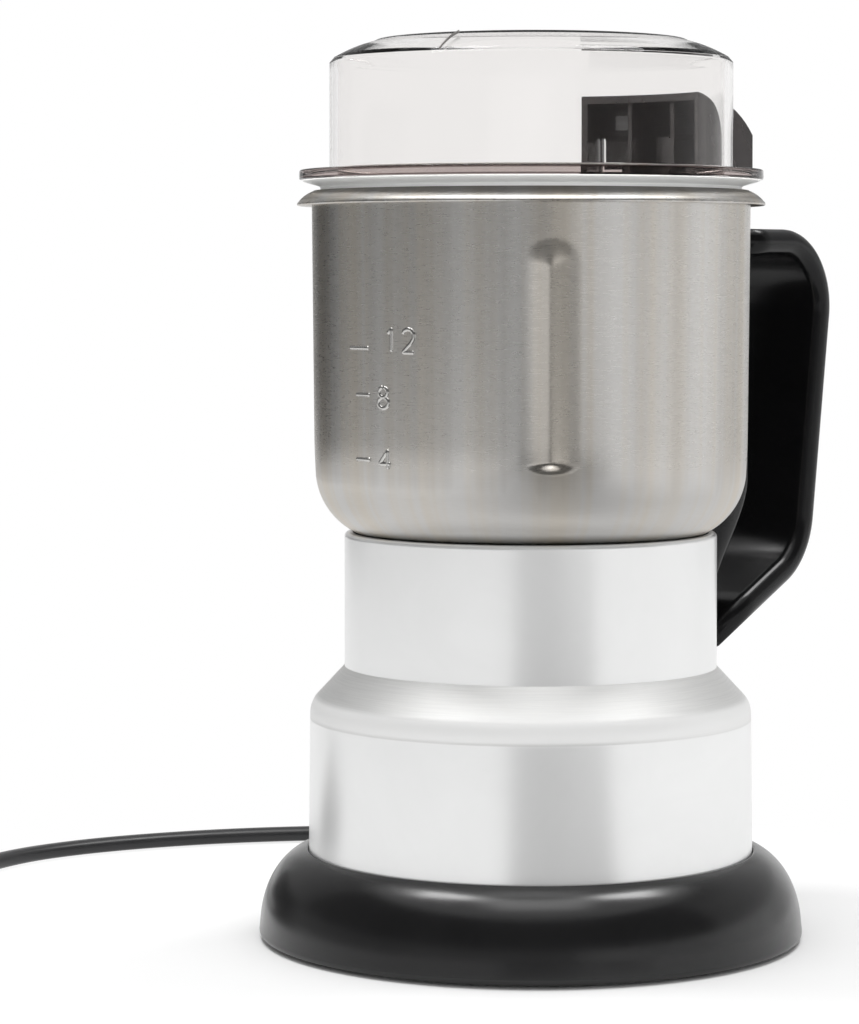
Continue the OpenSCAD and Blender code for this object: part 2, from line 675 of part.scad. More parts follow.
module handle_column() color([0.04, 0.04, 0.045]) difference() {
    intersection() {
        upright(handle_w) column_outline(0, handle_top_z, column_foot_z - 14);
        translate([(column_in + column_reach) / 2, 0, 0]) linear_extrude(handle_top_z)
            rounded(column_reach - column_in, handle_w, loop_round);
    }
    difference() {
        intersection() {
            upright(handle_w - 2 * column_wall)
                column_outline(column_wall, handle_top_z - column_wall, column_foot_z);
            block([column_in, column_reach], [-half_w, half_w], [column_floor_z, handle_top_z]);
        }
        // shelf under the spring, bosses for the studs, guides beside the rod's head
        block([stud_root_x, column_reach], [-half_w, half_w], [shelf_z - shelf_t, shelf_z]);
        for (y = [-1, 1], z = stud_z) translate([stud_root_x, y * stud_y, z]) rotate([0, 90, 0])
            cylinder(r = boss_r, h = column_reach - stud_root_x, $fn = 32);
        for (y = [0, 1]) mirror([0, y, 0]) block([rod_x - 3, column_reach],
            [rod_head_w / 2 + slack, rod_head_w / 2 + slack + guide_t],
            [rod_top_z - rod_head_h + rod_step_h + slack, handle_top_z]);
    }
    kept_clear(slack);
    // slot for the prong
    block([prong_x - prong_t / 2 - 0.6, prong_x + prong_t / 2 + 0.6],
        [-prong_w / 2 - 0.6, prong_w / 2 + 0.6], [rod_top_z, handle_top_z + 1]);
    translate([rod_x, 0, shelf_z - 5]) cylinder(r = rod_stem_r + run, h = 10, $fn = 48);
    for (y = [-1, 1], z = stud_z) translate([stud_root_x, y * stud_y, z]) rotate([0, 90, 0])
        cylinder(r = stud_r + run, h = stud_l + slack, $fn = 32);
    for (z = handle_screw_z) translate([handle_seat_x, 0, z]) rotate([0, 90, 0])
        cylinder(r = screw_r, h = handle_screw_l + slack, $fn = 32);
    translate([neck_r - 2, 0, wire_hole_z]) rotate([0, 90, 0]) cylinder(r = wire_hole_r, h = 4, $fn = 32);
    for (y = [switch_y + 3, switch_y + switch_l - 3]) translate([cavity_x - 1, y, switch_top_z - 7])
        rotate([0, 90, 0]) cylinder(r = 1, h = 2.4, $fn = 32);
    // the liner lies against the bowl inside the walls
    ring(liner_r + 0.2, bowl_r - 3, switch_top_z + 4, handle_top_z - column_wall - switch_top_z - 4);
}

// ring of the band at a point of its outer line, whose outward normal has the angle a
function band_ring(at, a) = [for (q = [0:3], i = [0:4]) let (
    b = 90 * q + 22.5 * i,
    u = [1, -1, -1, 1][q] * (band_t / 2 - loop_round) + loop_round * cos(b) - band_t / 2,
    v = [1, 1, -1, -1][q] * (half_w - loop_round) + loop_round * sin(b))
    [at[0] + u * cos(a), v, at[1] + u * sin(a)]];

// the loop: upper arm, corner, leaning grip, lower corner and the arm that slopes back in
module handle_grip() color([0.04, 0.04, 0.045]) {
    low_turn = 90 - grip_lean - arm_slope;
    grip_end = corner_c + handle_corner * [cos(grip_lean), -sin(grip_lean)]
        - grip_l * [sin(grip_lean), cos(grip_lean)];
    low_c = grip_end + low_corner * [-cos(grip_lean), sin(grip_lean)];
    arm_start = low_c + low_corner * [sin(arm_slope), -cos(arm_slope)];
    arm_l = (arm_start[0] - arm_root_x) / cos(arm_slope);
    difference() {
        skin(concat(
            [band_ring([column_reach - 1, handle_top_z], 90)],
            [for (i = [0:14]) let (a = 90 - (90 + grip_lean) * i / 14)
                band_ring(corner_c + handle_corner * [cos(a), sin(a)], a)],
            [for (i = [0:10]) let (a = -grip_lean - low_turn * i / 10)
                band_ring(low_c + low_corner * [cos(a), sin(a)], a)],
            [band_ring(arm_start - arm_l * [cos(arm_slope), sin(arm_slope)], arm_slope - 90)]));
        kept_clear(slack);
        upright(handle_w + 4) column_outline(-slack / 2, handle_top_z + 1, column_foot_z - 14);
    }
}

module handle_cover() color([0.06, 0.06, 0.06]) difference() {
    side = half_w - column_wall - slack;
    low = switch_top_z + 4.2;
    intersection() {
        ring(liner_r, liner_r - 1.3, low, handle_top_z - column_wall - 0.2 - low);
        block([column_in, column_reach], [-side, side], [low - 1, handle_top_z]);
    }
    for (y = [-1, 1], z = stud_z) translate([stud_root_x, y * stud_y, z]) rotate([0, 90, 0])
        cylinder(r = stud_r + clear, h = stud_l, $fn = 32);
}

module handle_screws() color([0.6, 0.6, 0.62]) for (z = handle_screw_z)
    translate([handle_seat_x - screw_head_h, 0, z]) rotate([0, 90, 0])
        screw(screw_r - slack / 2, handle_screw_l, screw_head_r, screw_head_h);

// ---------------------------------------------------------------- switch train

module push_rod() color([0.85, 0.85, 0.83]) {
    block([rod_x - rod_head_t / 2, rod_x + rod_head_t / 2], [-rod_head_w / 2, rod_head_w / 2],
        [rod_top_z - rod_head_h, rod_top_z]);
    // step that stops under the guides
    block([rod_x - rod_head_t / 2, rod_x + rod_head_t / 2],
        [-rod_head_w / 2 - rod_step, rod_head_w / 2 + rod_step],
        [rod_top_z - rod_head_h, rod_top_z - rod_head_h + rod_step_h]);
    translate([rod_x, 0, rod_tip_z + 0.9])
        cylinder(r = rod_stem_r, h = rod_top_z - rod_head_h - rod_tip_z, $fn = 48);
    translate([rod_x - 1, 0, rod_tip_z + 1]) rotate([0, 90, 0]) cylinder(r = 1, h = 2, $fn = 48);
}

module rod_spring() color([0.7, 0.7, 0.72]) translate([rod_x, 0, shelf_z + eps])
    coil_spring(spring_r, spring_wire_r, spring_l - 2 * eps, 7, 14, 6);

module micro_switch() color([0.12, 0.12, 0.13]) difference() {
    union() {
        block([switch_x, cavity_x], [switch_y, switch_y + switch_l],
            [switch_top_z - switch_h, switch_top_z]);
        for (x = [switch_x, cavity_x - 0.9]) block([x, x + 0.9], [pivot_y - 1.6, pivot_y + 1.6],
            [switch_top_z - eps, switch_top_z + pivot_up + 1.3]);
        // terminals
        for (y = [3, 10, 17]) block([rod_x - 1.6, rod_x + 1.6], [switch_y + y - 0.3, switch_y + y + 0.3],
            [switch_top_z - switch_h - 4, switch_top_z - switch_h + eps]);
    }
    translate([switch_x - 1, pivot_y, switch_top_z + pivot_up]) rotate([0, 90, 0])
        cylinder(r = pivot_r + run, h = 9, $fn = 48);
    block([rod_x - button_t / 2 - slack, rod_x + button_t / 2 + slack],
        [pivot_y + button_arm - button_w / 2 - slack, pivot_y + button_arm + button_w / 2 + slack],
        [switch_top_z - 3.4, switch_top_z + 1]);
    for (y = [3, switch_l - 3]) translate([switch_x - 1, switch_y + y, switch_top_z - 7]) rotate([0, 90, 0]) {
        cylinder(r = 1.1, h = 9, $fn = 32);
        cylinder(r = 1.9, h = 2.2, $fn = 32);
    }
}

module switch_lever() color([0.8, 0.8, 0.82])
    translate([0, pivot_y, switch_top_z + pivot_up]) {
        translate([switch_x + 0.2, 0, 0]) rotate([0, 90, 0])
            cylinder(r = pivot_r, h = cavity_x - switch_x - 0.4, $fn = 48);
        rotate([lever_angle, 0, 0]) block([switch_x + 1.2, cavity_x - 1.2], [0, lever_arm + 2],
            [-lever_t / 2, lever_t / 2]);
    }

module switch_button() color([0.75, 0.2, 0.15]) {
    lever_low = pivot_up + (button_arm - button_w / 2) * sin(lever_angle) - lever_t / 2;
    block([rod_x - button_t / 2, rod_x + button_t / 2],
        [pivot_y + button_arm - button_w / 2, pivot_y + button_arm + button_w / 2],
        [switch_top_z - 2.2, switch_top_z + lever_low - slack]);
}

module switch_screws() color([0.6, 0.6, 0.62]) for (y = [3, switch_l - 3])
    translate([switch_x, switch_y + y, switch_top_z - 7]) rotate([0, 90, 0])
        screw(1 - slack / 2, 6, 1.8, 1.1);

// ---------------------------------------------------------------- blades and drive line

// one wing: flat at the hub, then cranked, with a ground edge and a clipped tip
module wing(l, flat_l, crank) {
    rise = (l - flat_l) * tan(crank);
    difference() {
        rotate([90, 0, 0]) translate([0, 0, -blade_w / 2]) linear_extrude(blade_w) polygon([[0, 0],
            [flat_l, 0], [l, rise], [l - blade_t * sin(crank), rise + blade_t * cos(crank)],
            [flat_l - blade_t * tan(crank / 2), blade_t], [0, blade_t]]);
        translate([flat_l, 0, 0]) rotate([0, -crank, 0]) {
            translate([1, -blade_w / 2, edge_t]) rotate([atan((blade_t - edge_t) / ground_w), 0, 0])
                translate([0, -2, 0]) cube([lower_blade_l, ground_w + 4, 4]);
            translate([(l - flat_l) / cos(crank), blade_w / 2, 0]) rotate(45)
                cube([tip_clip, tip_clip, 8], center = true);
        }
    }
}

module blade(l, flat_l, crank, z) translate([0, 0, z]) difference() {
    union() {
        for (a = [0, 180]) rotate(a) wing(l / 2, flat_l, crank);
        cylinder(r = blade_w / 2 + 1, h = blade_t);
    }
    translate([0, 0, -1]) cylinder(r = thread_r + run, h = blade_t + 2, $fn = 48);
}

module lower_blade() color([0.75, 0.75, 0.74]) blade(lower_blade_l, lower_flat, lower_crank, blade_z);

module upper_blade() color([0.75, 0.75, 0.74]) rotate(90)
    blade(upper_blade_l, upper_flat, upper_crank, blade_z + blade_t + 2);

module blade_spacer() color([0.7, 0.7, 0.7]) ring(5, thread_r + run, blade_z + blade_t, 2);

module blade_washer() color([0.7, 0.7, 0.7]) ring(5.5, thread_r + run, blade_z + 2 * blade_t + 2, 1);

module blade_nut() color([0.7, 0.7, 0.72]) translate([0, 0, blade_z + 2 * blade_t + 3]) difference() {
    intersection() {
        cylinder(r = blade_nut_r, h = blade_nut_h, $fn = 6);
        cylinder(r = blade_nut_r - 0.3, h = blade_nut_h);
    }
    translate([0, 0, -1]) cylinder(r = thread_r + run, h = blade_nut_h + 2, $fn = 48);
}

module shaft() color([0.7, 0.7, 0.72]) {
    translate([0, 0, shaft_low_z]) cylinder(r = shaft_r, h = blade_z - shaft_low_z);
    translate([0, 0, blade_z - eps]) cylinder(r = thread_r, h = shaft_top_z - blade_z);
    // collar that the blades sit on
    ring(5.5, shaft_r - eps, blade_z - 1.6, 1.6);
}

module shaft_seal() color([0.12, 0.12, 0.12]) ring(7, shaft_r + clear, bush_top_z, 2.2);

module shaft_bush() color([0.72, 0.6, 0.35]) difference() {
    union() {
        translate([0, 0, bowl_z + bowl_wall]) cylinder(r = bush_flange_r, h = 1.8);
        translate([0, 0, deck_z - deck_t - bush_nut_h - 1.5])
            cylinder(r = bush_r, h = bowl_z + bowl_wall - deck_z + deck_t + bush_nut_h + 1.5 + eps);
    }
    translate([0, 0, deck_z / 2]) cylinder(r = shaft_r + run, h = deck_z);
}

module bush_nut() color([0.65, 0.65, 0.67]) translate([0, 0, deck_z - deck_t - bush_nut_h]) difference() {
    cylinder(r = 12, h = bush_nut_h, $fn = 6);
    translate([0, 0, -1]) cylinder(r = bush_r + run, h = bush_nut_h + 2);
}

module fan() color([0.2, 0.2, 0.22]) difference() {
    union() {
        translate([0, 0, fan_z]) cylinder(r = 7, h = fan_h);
        translate([0, 0, fan_z]) cylinder(r = fan_d / 2, h = 1.2);
        for (i = [0:fan_vanes - 1]) rotate(360 * i / fan_vanes) rotate(25)
            block([6, fan_d / 2 - 1.8], [-0.6, 0.6], [fan_z, fan_z + fan_h]);
    }
    translate([0, 0, fan_z - 1]) cylinder(r = shaft_r + run / 2, h = fan_h + 2);
}

module rotor_core() color([0.4, 0.4, 0.42]) difference() {
    translate([0, 0, stack_z]) cylinder(r = rotor_r, h = stack_h);
    translate([0, 0, stack_z - 1]) cylinder(r = shaft_r + run / 2, h = stack_h + 2);
    for (a = [0:30:330]) rotate(a)
        block([rotor_r - 4, rotor_r + 1], [-0.9, 0.9], [stack_z - 1, stack_z + stack_h + 1]);
}

module winding_end(z, up) translate([0, 0, z]) rotate_extrude() polygon([
    [shaft_r + 1.4, 0], [rotor_r - 1.6, 0], [rotor_r - 2.2, up * winding_h * 0.7],
    [rotor_r - 5, up * winding_h], [shaft_r + 2.4, up * winding_h * 0.85]]);

module rotor_windings() color([0.65, 0.32, 0.14]) {
    winding_end(stack_z, -1);
    winding_end(stack_z + stack_h, 1);
    for (a = [0:30:330]) rotate(a) block([rotor_r - 3.8, rotor_r - 2.2], [-0.7, 0.7],
        [stack_z - 0.5, stack_z + stack_h + 0.5]);
}

module commutator() color([0.72, 0.45, 0.2]) difference() {
    translate([0, 0, commutator_z]) cylinder(r = commutator_r, h = commutator_h);
    translate([0, 0, commutator_z - 1]) cylinder(r = shaft_r + run / 2, h = commutator_h + 2);
    for (a = [0:15:345]) rotate(a) block([commutator_r - 0.8, commutator_r + 1], [-0.2, 0.2],
        [commutator_z - 1, commutator_z + commutator_h - 1.5]);
}

module bearing(r, z, h) difference() {
    translate([0, 0, z]) cylinder(r = r, h = h);
    translate([0, 0, z - 1]) cylinder(r = shaft_r + run, h = h + 2);
}

module upper_bearing() color([0.6, 0.6, 0.62]) bearing(upper_bearing_r, upper_bearing_z, upper_bearing_h);

module lower_bearing() color([0.65, 0.5, 0.3]) bearing(lower_bearing_r, lower_bearing_z, lower_bearing_h);

// pressed bridge with a cup for the bearing
module bridge(z, cup_z, cup_h, r, cross) difference() {
    union() {
        block([-bolt_x - 6, bolt_x + 6], [-7, 7], [z, z + bracket_t]);
        block([-6, 6], [-cross, cross], [z, z + bracket_t]);
        translate([0, 0, z]) cylinder(r = r + 5, h = bracket_t);
        translate([0, 0, cup_z]) cylinder(r = r + 1.6, h = cup_h);
    }
    translate([0, 0, z - 10]) cylinder(r = r + slack / 2, h = 30);
    for (x = [-1, 1]) translate([x * bolt_x, 0, z - 1]) cylinder(r = bolt_r + 0.1, h = 4, $fn = 32);
}

module upper_bracket() color([0.7, 0.7, 0.7])
    bridge(upper_bearing_z, upper_bearing_z, upper_bearing_h - 0.6, upper_bearing_r, 10);

module lower_bracket() color([0.7, 0.7, 0.7])
    bridge(bridge_z, lower_bearing_z, lower_bearing_h - 0.6, lower_bearing_r, commutator_r + holder_l);

module stator_core() color([0.45, 0.45, 0.47]) difference() {
    translate([0, 0, stack_z]) linear_extrude(stack_h) rounded(stator_w, stator_depth, 6);
    translate([0, 0, stack_z - 1]) cylinder(r = rotor_r + bore_gap, h = stack_h + 2);
    // windows for the two field coils
    for (y = [-1, 1], x = [-1, 1]) translate([x * coil_x, y * coil_y, stack_z + stack_h / 2])
        cube([coil_wire_w + 1, coil_wire_d + 1, stack_h + 2], center = true);
    for (x = [-1, 1]) translate([x * bolt_x, 0, stack_z - 1])
        cylinder(r = bolt_r + slack, h = stack_h + 2, $fn = 32);
}

module field_coils() color([0.68, 0.36, 0.16]) for (y = [-1, 1]) {
    for (x = [-1, 1]) translate([x * coil_x, y * coil_y, stack_z + stack_h / 2])
        cube([coil_wire_w, coil_wire_d, stack_h + 2 * (coil_end_h + coil_end_gap)], center = true);
    for (z = [stack_z - coil_end_h - coil_end_gap, stack_z + stack_h + coil_end_gap])
        block([-coil_x, coil_x], [y * coil_end_y - 2.2, y * coil_end_y + 2.2], [z, z + coil_end_h]);
}

module motor_bolts() color([0.6, 0.6, 0.62]) for (x = [-1, 1])
    translate([x * bolt_x, 0, bridge_z - 2.2]) {
        cylinder(r = 3.4, h = 2.2, $fn = 32);
        cylinder(r = bolt_r - run, h = upper_bearing_z - bridge_z + bracket_t + bolt_bite, $fn = 32);
    }

module brush_holders() color([0.55, 0.4, 0.2]) for (y = [-1, 1]) scale([1, y, 1]) {
    w = brush_w / 2 + slack;
    h = brush_h / 2 + slack;
    difference() {
        block([-w - holder_wall, w + holder_wall], [commutator_r + 1.2, commutator_r + holder_l],
            [brush_z - h - holder_wall, brush_z + h + holder_wall]);
        block([-w, w], [commutator_r, commutator_r + holder_l - holder_wall], [brush_z - h, brush_z + h]);
    }
    // foot on the bracket
    block([-w, w], [commutator_r + 10, commutator_r + holder_l - 2],
        [bridge_z + bracket_t, brush_z - h - holder_wall]);
}

module carbon_brushes() color([0.12, 0.12, 0.13]) for (y = [-1, 1]) scale([1, y, 1]) difference() {
    block([-brush_w / 2, brush_w / 2], [commutator_r - 0.6, commutator_r + brush_l],
        [brush_z - brush_h / 2, brush_z + brush_h / 2]);
    translate([0, 0, brush_z - 10]) cylinder(r = commutator_r + run, h = 20);
}

module brush_springs() color([0.7, 0.7, 0.72]) for (a = [0, 180]) rotate(a)
    translate([0, commutator_r + brush_l + slack, brush_z]) rotate([-90, 0, 0])
        coil_spring(1.7, 0.35, holder_l - holder_wall - brush_l - 2 * slack, 4, 16, 6);

module motor_spacers() color([0.1, 0.1, 0.1]) for (x = [-1, 1]) translate([x * bolt_x, 0, 0]) {
    ring(4, bolt_r + slack, bridge_z + bracket_t, stack_z - bridge_z - bracket_t);
    ring(4, bolt_r + slack, stack_z + stack_h, upper_bearing_z - stack_z - stack_h);
}

// ---------------------------------------------------------------- electrics in the base

module circuit_board() color([0.1, 0.35, 0.2]) block(board_x, [-17, 17], [board_z, board_z + board_t]);

module capacitor() color([0.75, 0.65, 0.2]) block([-29, -17], [-15.5, -7], [board_z + board_t, board_z + 10]);

module thermal_fuse() color([0.8, 0.8, 0.8]) translate([-24, 7, board_z + board_t + 2]) rotate([-90, 0, 0])
    cylinder(r = 2, h = 9, $fn = 32);

module cord_clamp() color([0.1, 0.1, 0.1]) difference() {
    block(clamp_x, [-clamp_w_half, clamp_w_half], [cord_exit_z, clamp_top_z]);
    cord_slot(clamp_x[0] - 1, clamp_x[1] + 1);
    for (y = [-1, 1]) translate([clamp_x[0] + 4, y * clamp_screw_y, 0])
        cylinder(r = screw_r + slack, h = 30, $fn = 32);
}

module clamp_screws() color([0.6, 0.6, 0.62]) for (y = [-1, 1])
    translate([clamp_x[0] + 4, y * clamp_screw_y, clamp_top_z + screw_head_h]) rotate([180, 0, 0])
        screw(screw_r - slack / 2, 8, screw_head_r, screw_head_h);

module strain_relief() color([0.05, 0.05, 0.05]) difference() {
    translate([base_r - relief_in, 0, cord_exit_z]) rotate([0, 90, 0]) {
        cylinder(r = relief_r, h = relief_l, $fn = 48);
        cylinder(r = relief_flange_r, h = 2.2, $fn = 48);
        translate([0, 0, relief_l - 0.1]) cylinder(r1 = relief_r, r2 = 3.7, h = relief_nose_l, $fn = 48);
    }
    cord_slot(base_r - relief_in - 1, base_r + relief_nose_l + 2);
}

module power_cord() color([0.05, 0.05, 0.05]) flat_tube(cord_route, cord_w, cord_t, 8);

module cord_coil() color([0.05, 0.05, 0.05]) translate([coil_c[0], coil_c[1], coil_mid_z])
    rotate_extrude() translate([coil_r, 0]) rounded(coil_w, coil_h, 1.8);

module cord_tail() color([0.05, 0.05, 0.05]) flat_tube(tail_route, cord_w, cord_t, 8);

module cord_tie() color([0.1, 0.1, 0.1]) translate([coil_c[0], coil_c[1], coil_mid_z]) rotate(60)
    translate([coil_r, 0, 0]) rotate([90, 0, 0]) translate([0, 0, -1.5]) linear_extrude(3) difference() {
        rounded(coil_w + 2 * tie_t + slack, coil_h + 2 * tie_t + slack, 2.2);
        rounded(coil_w + slack, coil_h + slack, 1.4);
    }

module plug_body() color([0.05, 0.05, 0.05]) translate([plug_at[0], plug_at[1], plug_h / 2 + 0.1])
    rotate(plug_turn) difference() {
        union() {
            translate([plug_l / 2, 0, 0]) rotate([90, 0, 90]) translate([0, 0, -plug_l / 2 + 6])
                linear_extrude(plug_l - 6) rounded(plug_w, plug_h, 3);
            rotate([0, 90, 0]) cylinder(r1 = 4.4, r2 = 6.4, h = 7, $fn = 48);
        }
        for (y = [-1, 1]) translate([plug_l - 3, y * blade_gap / 2, 0])
            cube([8, pin_t, pin_w], center = true);
    }

module plug_blades() color([0.8, 0.7, 0.45]) translate([plug_at[0], plug_at[1], plug_h / 2 + 0.1])
    rotate(plug_turn) for (y = [-1, 1])
        translate([plug_l + pin_l / 2 - 4, y * blade_gap / 2, 0]) difference() {
            cube([pin_l + 4, pin_t, pin_w], center = true);
            translate([pin_l / 2 - 1.5, 0, 0]) rotate([90, 0, 0])
                cylinder(r = 1.4, h = 4, center = true, $fn = 32);
        }

// ---------------------------------------------------------------- drawing

base_skirt();
bottom_cover();
foot_ring();
bottom_screws();
body_shell();
motor_chassis();
chassis_screws();
bowl();
bowl_gasket();
handle_column();
handle_grip();
handle_cover();
handle_screws();
push_rod();
rod_spring();
micro_switch();
switch_lever();
switch_button();
switch_screws();
lid();
lid_seal();
lid_hood();
lower_blade();
upper_blade();
blade_spacer();
blade_washer();
blade_nut();
shaft();
shaft_seal();
shaft_bush();
bush_nut();
fan();
rotor_core();
rotor_windings();
commutator();
upper_bearing();
lower_bearing();
upper_bracket();
lower_bracket();
stator_core();
field_coils();
motor_bolts();
brush_holders();
carbon_brushes();
brush_springs();
motor_spacers();
circuit_board();
capacitor();
thermal_fuse();
cord_clamp();
clamp_screws();
strain_relief();
power_cord();
cord_coil();
cord_tail();
cord_tie();
plug_body();
plug_blades();
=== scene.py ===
import json
import math
import bmesh
import bpy
import numpy as np
from mathutils import Matrix, Vector


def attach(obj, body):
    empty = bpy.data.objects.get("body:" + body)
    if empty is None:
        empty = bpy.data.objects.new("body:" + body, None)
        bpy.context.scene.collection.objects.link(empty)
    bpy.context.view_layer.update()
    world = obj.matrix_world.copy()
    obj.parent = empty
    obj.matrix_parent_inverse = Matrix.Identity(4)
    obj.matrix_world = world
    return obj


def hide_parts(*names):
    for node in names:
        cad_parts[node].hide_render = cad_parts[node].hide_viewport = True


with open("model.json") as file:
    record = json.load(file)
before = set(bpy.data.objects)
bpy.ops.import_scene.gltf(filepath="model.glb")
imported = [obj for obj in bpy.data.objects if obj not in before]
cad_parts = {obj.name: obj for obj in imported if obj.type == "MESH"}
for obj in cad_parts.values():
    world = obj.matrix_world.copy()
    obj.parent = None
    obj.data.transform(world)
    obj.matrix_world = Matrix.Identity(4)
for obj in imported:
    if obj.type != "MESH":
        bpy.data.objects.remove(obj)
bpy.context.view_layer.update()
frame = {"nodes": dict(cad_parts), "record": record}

mm = 0.001
nodes = frame["nodes"]
print("frame loaded:", len(nodes), "nodes")

# camera: level with the bowl, a little below the lid's top
view = {
    "place": (-0.63626, -0.49671, 0.15643),
    "heading": 39.664,  # degrees from +X
    "down": 1.966,
    "lens": 120.88,
    "shiftY": -0.12,
}


def makeCamera(v):
    camera = bpy.data.objects.new("camera", bpy.data.cameras.new("camera"))
    bpy.context.scene.collection.objects.link(camera)
    heading, down = math.radians(v["heading"]), math.radians(v["down"])
    level = math.cos(down)
    forward = Vector((level * math.cos(heading), level * math.sin(heading), -math.sin(down)))
    right = Vector((math.sin(heading), -math.cos(heading), 0))
    up = right.cross(forward)
    axes = Matrix((right, up, -forward)).transposed().to_4x4()
    camera.matrix_world = Matrix.Translation(v["place"]) @ axes
    camera.data.sensor_width = 36
    camera.data.lens = v["lens"]
    camera.data.shift_y = v["shiftY"]
    camera.data.clip_start = 0.02
    camera.data.clip_end = 50
    bpy.context.scene.camera = camera


makeCamera(view)


# mesh helpers
def newPiece(name, verts, faces, smooth=True):
    mesh = bpy.data.meshes.new(name)
    mesh.from_pydata([tuple(v) for v in verts], [], faces)
    bm = bmesh.new()
    bm.from_mesh(mesh)
    bmesh.ops.remove_doubles(bm, verts=bm.verts, dist=1e-7)
    bmesh.ops.recalc_face_normals(bm, faces=bm.faces)
    bm.to_mesh(mesh)
    bm.free()
    for p in mesh.polygons:
        p.use_smooth = smooth
    piece = bpy.data.objects.new(name, mesh)
    bpy.context.scene.collection.objects.link(piece)
    return piece


def spreadPath(points, steps):  # a Catmull-Rom curve through the points
    p = [np.array(q, float) for q in points]
    out = []
    for i in range(len(p) - 1):
        a, b, c, d = p[max(i - 1, 0)], p[i], p[i + 1], p[min(i + 2, len(p) - 1)]
        for k in range(steps):
            t = k / steps
            out.append(0.5 * (2 * b + (c - a) * t + (2 * a - 5 * b + 4 * c - d) * t * t
                              + (3 * b - a - 3 * c + d) * t ** 3))
    return out + [p[-1]]


def evenPath(points, step):  # the same line with evenly spaced points
    p = np.array(points, float)
    length = np.concatenate([[0], np.cumsum(np.linalg.norm(np.diff(p, axis=0), axis=1))])
    at = np.linspace(0, length[-1], max(2, int(round(length[-1] / step)) + 1))
    return [np.array([np.interp(s, length, p[:, k]) for k in range(3)]) for s in at], length[-1]


def tubeFaces(rings, count, base=0):  # sides between rings of count points, and the two ends
    sides = [(base + i * count + k, base + i * count + (k + 1) % count,
              base + (i + 1) * count + (k + 1) % count, base + (i + 1) * count + k)
             for i in range(rings - 1) for k in range(count)]
    last = base + (rings - 1) * count
    return sides + [tuple(range(base, base + count)), tuple(range(last, last + count))]


def sweepFlat(path, section):  # section(i) gives (across, upwards) points for a path lying nearly flat
    verts = []
    n = len(path)
    for i in range(n):
        d = path[min(i + 1, n - 1)] - path[max(i - 1, 0)]
        d = d / np.linalg.norm(d)
        side = np.array([-d[1], d[0], 0.0])
        side /= np.linalg.norm(side)
        up = np.cross(d, side)
        ring = section(i)
        verts += [path[i] + a * side + b * up for a, b in ring]
    return verts, tubeFaces(n, len(ring))


def holdEdges(points, gap=0.08, turn=2, sharp=24, uneven=2.5):
    # points beside each corner keep the long faces flat and the corners crisp
    out = []
    n = len(points)
    for i, p in enumerate(points):
        a, b = np.array(points[i - 1], float), np.array(points[(i + 1) % n], float)
        p = np.array(p, float)
        u, v = p - a, b - p
        lu, lv = np.linalg.norm(u), np.linalg.norm(v)
        bend = math.degrees(math.acos(max(-1, min(1, float(u @ v) / (lu * lv)))))
        if bend >= turn and lu > 3 * gap and (bend > sharp or lu > uneven * lv):
            out.append(tuple(p - u / lu * gap))
        out.append(tuple(p))
        if bend >= turn and lv > 3 * gap and (bend > sharp or lv > uneven * lu):
            out.append(tuple(p + v / lv * gap))
    return out


def arcPoints(centre, radius, start, end, count):  # degrees, in the plane of radius and height
    return [(centre[0] + radius * math.cos(a), centre[1] + radius * math.sin(a))
            for a in np.radians(np.linspace(start, end, count + 1))]


roundSteps = 256


def spin(name, profile, angles=None, press=None):  # a closed profile in mm turned round the axis
    angles = np.linspace(0, 360, roundSteps + 1)[:-1] if angles is None else angles
    verts, faces = [], []
    n = len(profile)
    for angle in angles:
        a = math.radians(angle)
        for r, z in profile:
            if press:
                r = max(0.0, r - press(angle, r, z))
            verts.append((r * math.cos(a) * mm, r * math.sin(a) * mm, z * mm))
    count = len(angles)
    for i in range(count):
        j = (i + 1) % count
        for k in range(n):
            m = (k + 1) % n
            if profile[k][0] < 1e-6 and profile[m][0] < 1e-6:
                continue
            faces.append((i * n + k, j * n + k, j * n + m, i * n + m))
    return newPiece(name, verts, faces)


def ovalRing(width, height, count=16, power=2.6):
    ring = []
    for k in range(count):
        a = 2 * math.pi * (k + 0.5) / count
        c, s = math.cos(a), math.sin(a)
        ring.append((width / 2 * math.copysign(abs(c) ** (2 / power), c),
                     height / 2 * math.copysign(abs(s) ** (2 / power), s)))
    return ring


# the mains cord: its run behind the base, a tied coil and the short end to the plug
cordLay = {
    "width": 6.0,
    "thick": 3.8,
    "exit": (63.0, 0.0, 9.8),
    "run": [(58, 0, 9.8), (70, 0, 9.8), (80, 1, 8.4), (90, 4, 5.6), (99, 10, 3.2), (106, 19, 2.3),
            (111, 32, 2.05), (111, 50, 2.05), (105, 72, 2.05), (94, 94, 2.05), (79, 115, 2.05),
            (62, 132.5, 2.05), (42, 147, 2.05), (20, 157.6, 2.05), (0, 162.6, 2.05), (-16, 162.4, 2.05)],
    "coilCentre": (-52, 195),
    "coilStart": -61.3,  # degrees, where the run meets the coil; it winds clockwise
    # degrees travelled, radius, height
    "coilKeys": [(0, 41.6, 2.05), (107, 35.3, 2.1), (250, 35.1, 2.1), (358, 28.9, 2.1),
                 (583, 28.9, 2.1), (651, 28.9, 6.1), (846, 28.9, 6.2), (955, 35.1, 6.2),
                 (1112, 35.3, 6.2), (1219.1, 41.2, 5.2)],
    "coilStep": 5.0,
    "tieAngle": 60,
    "tieSpan": 26,
    "tieLift": 0.75,
    "tail": [(-87, 219, 5.0), (-82, 230.4, 5.9), (-74.2, 240.8, 7.6)],
    "hidden": (57, 1),  # nothing is swept inside the base: short of this x until past this y
    "step": 2.6,
}


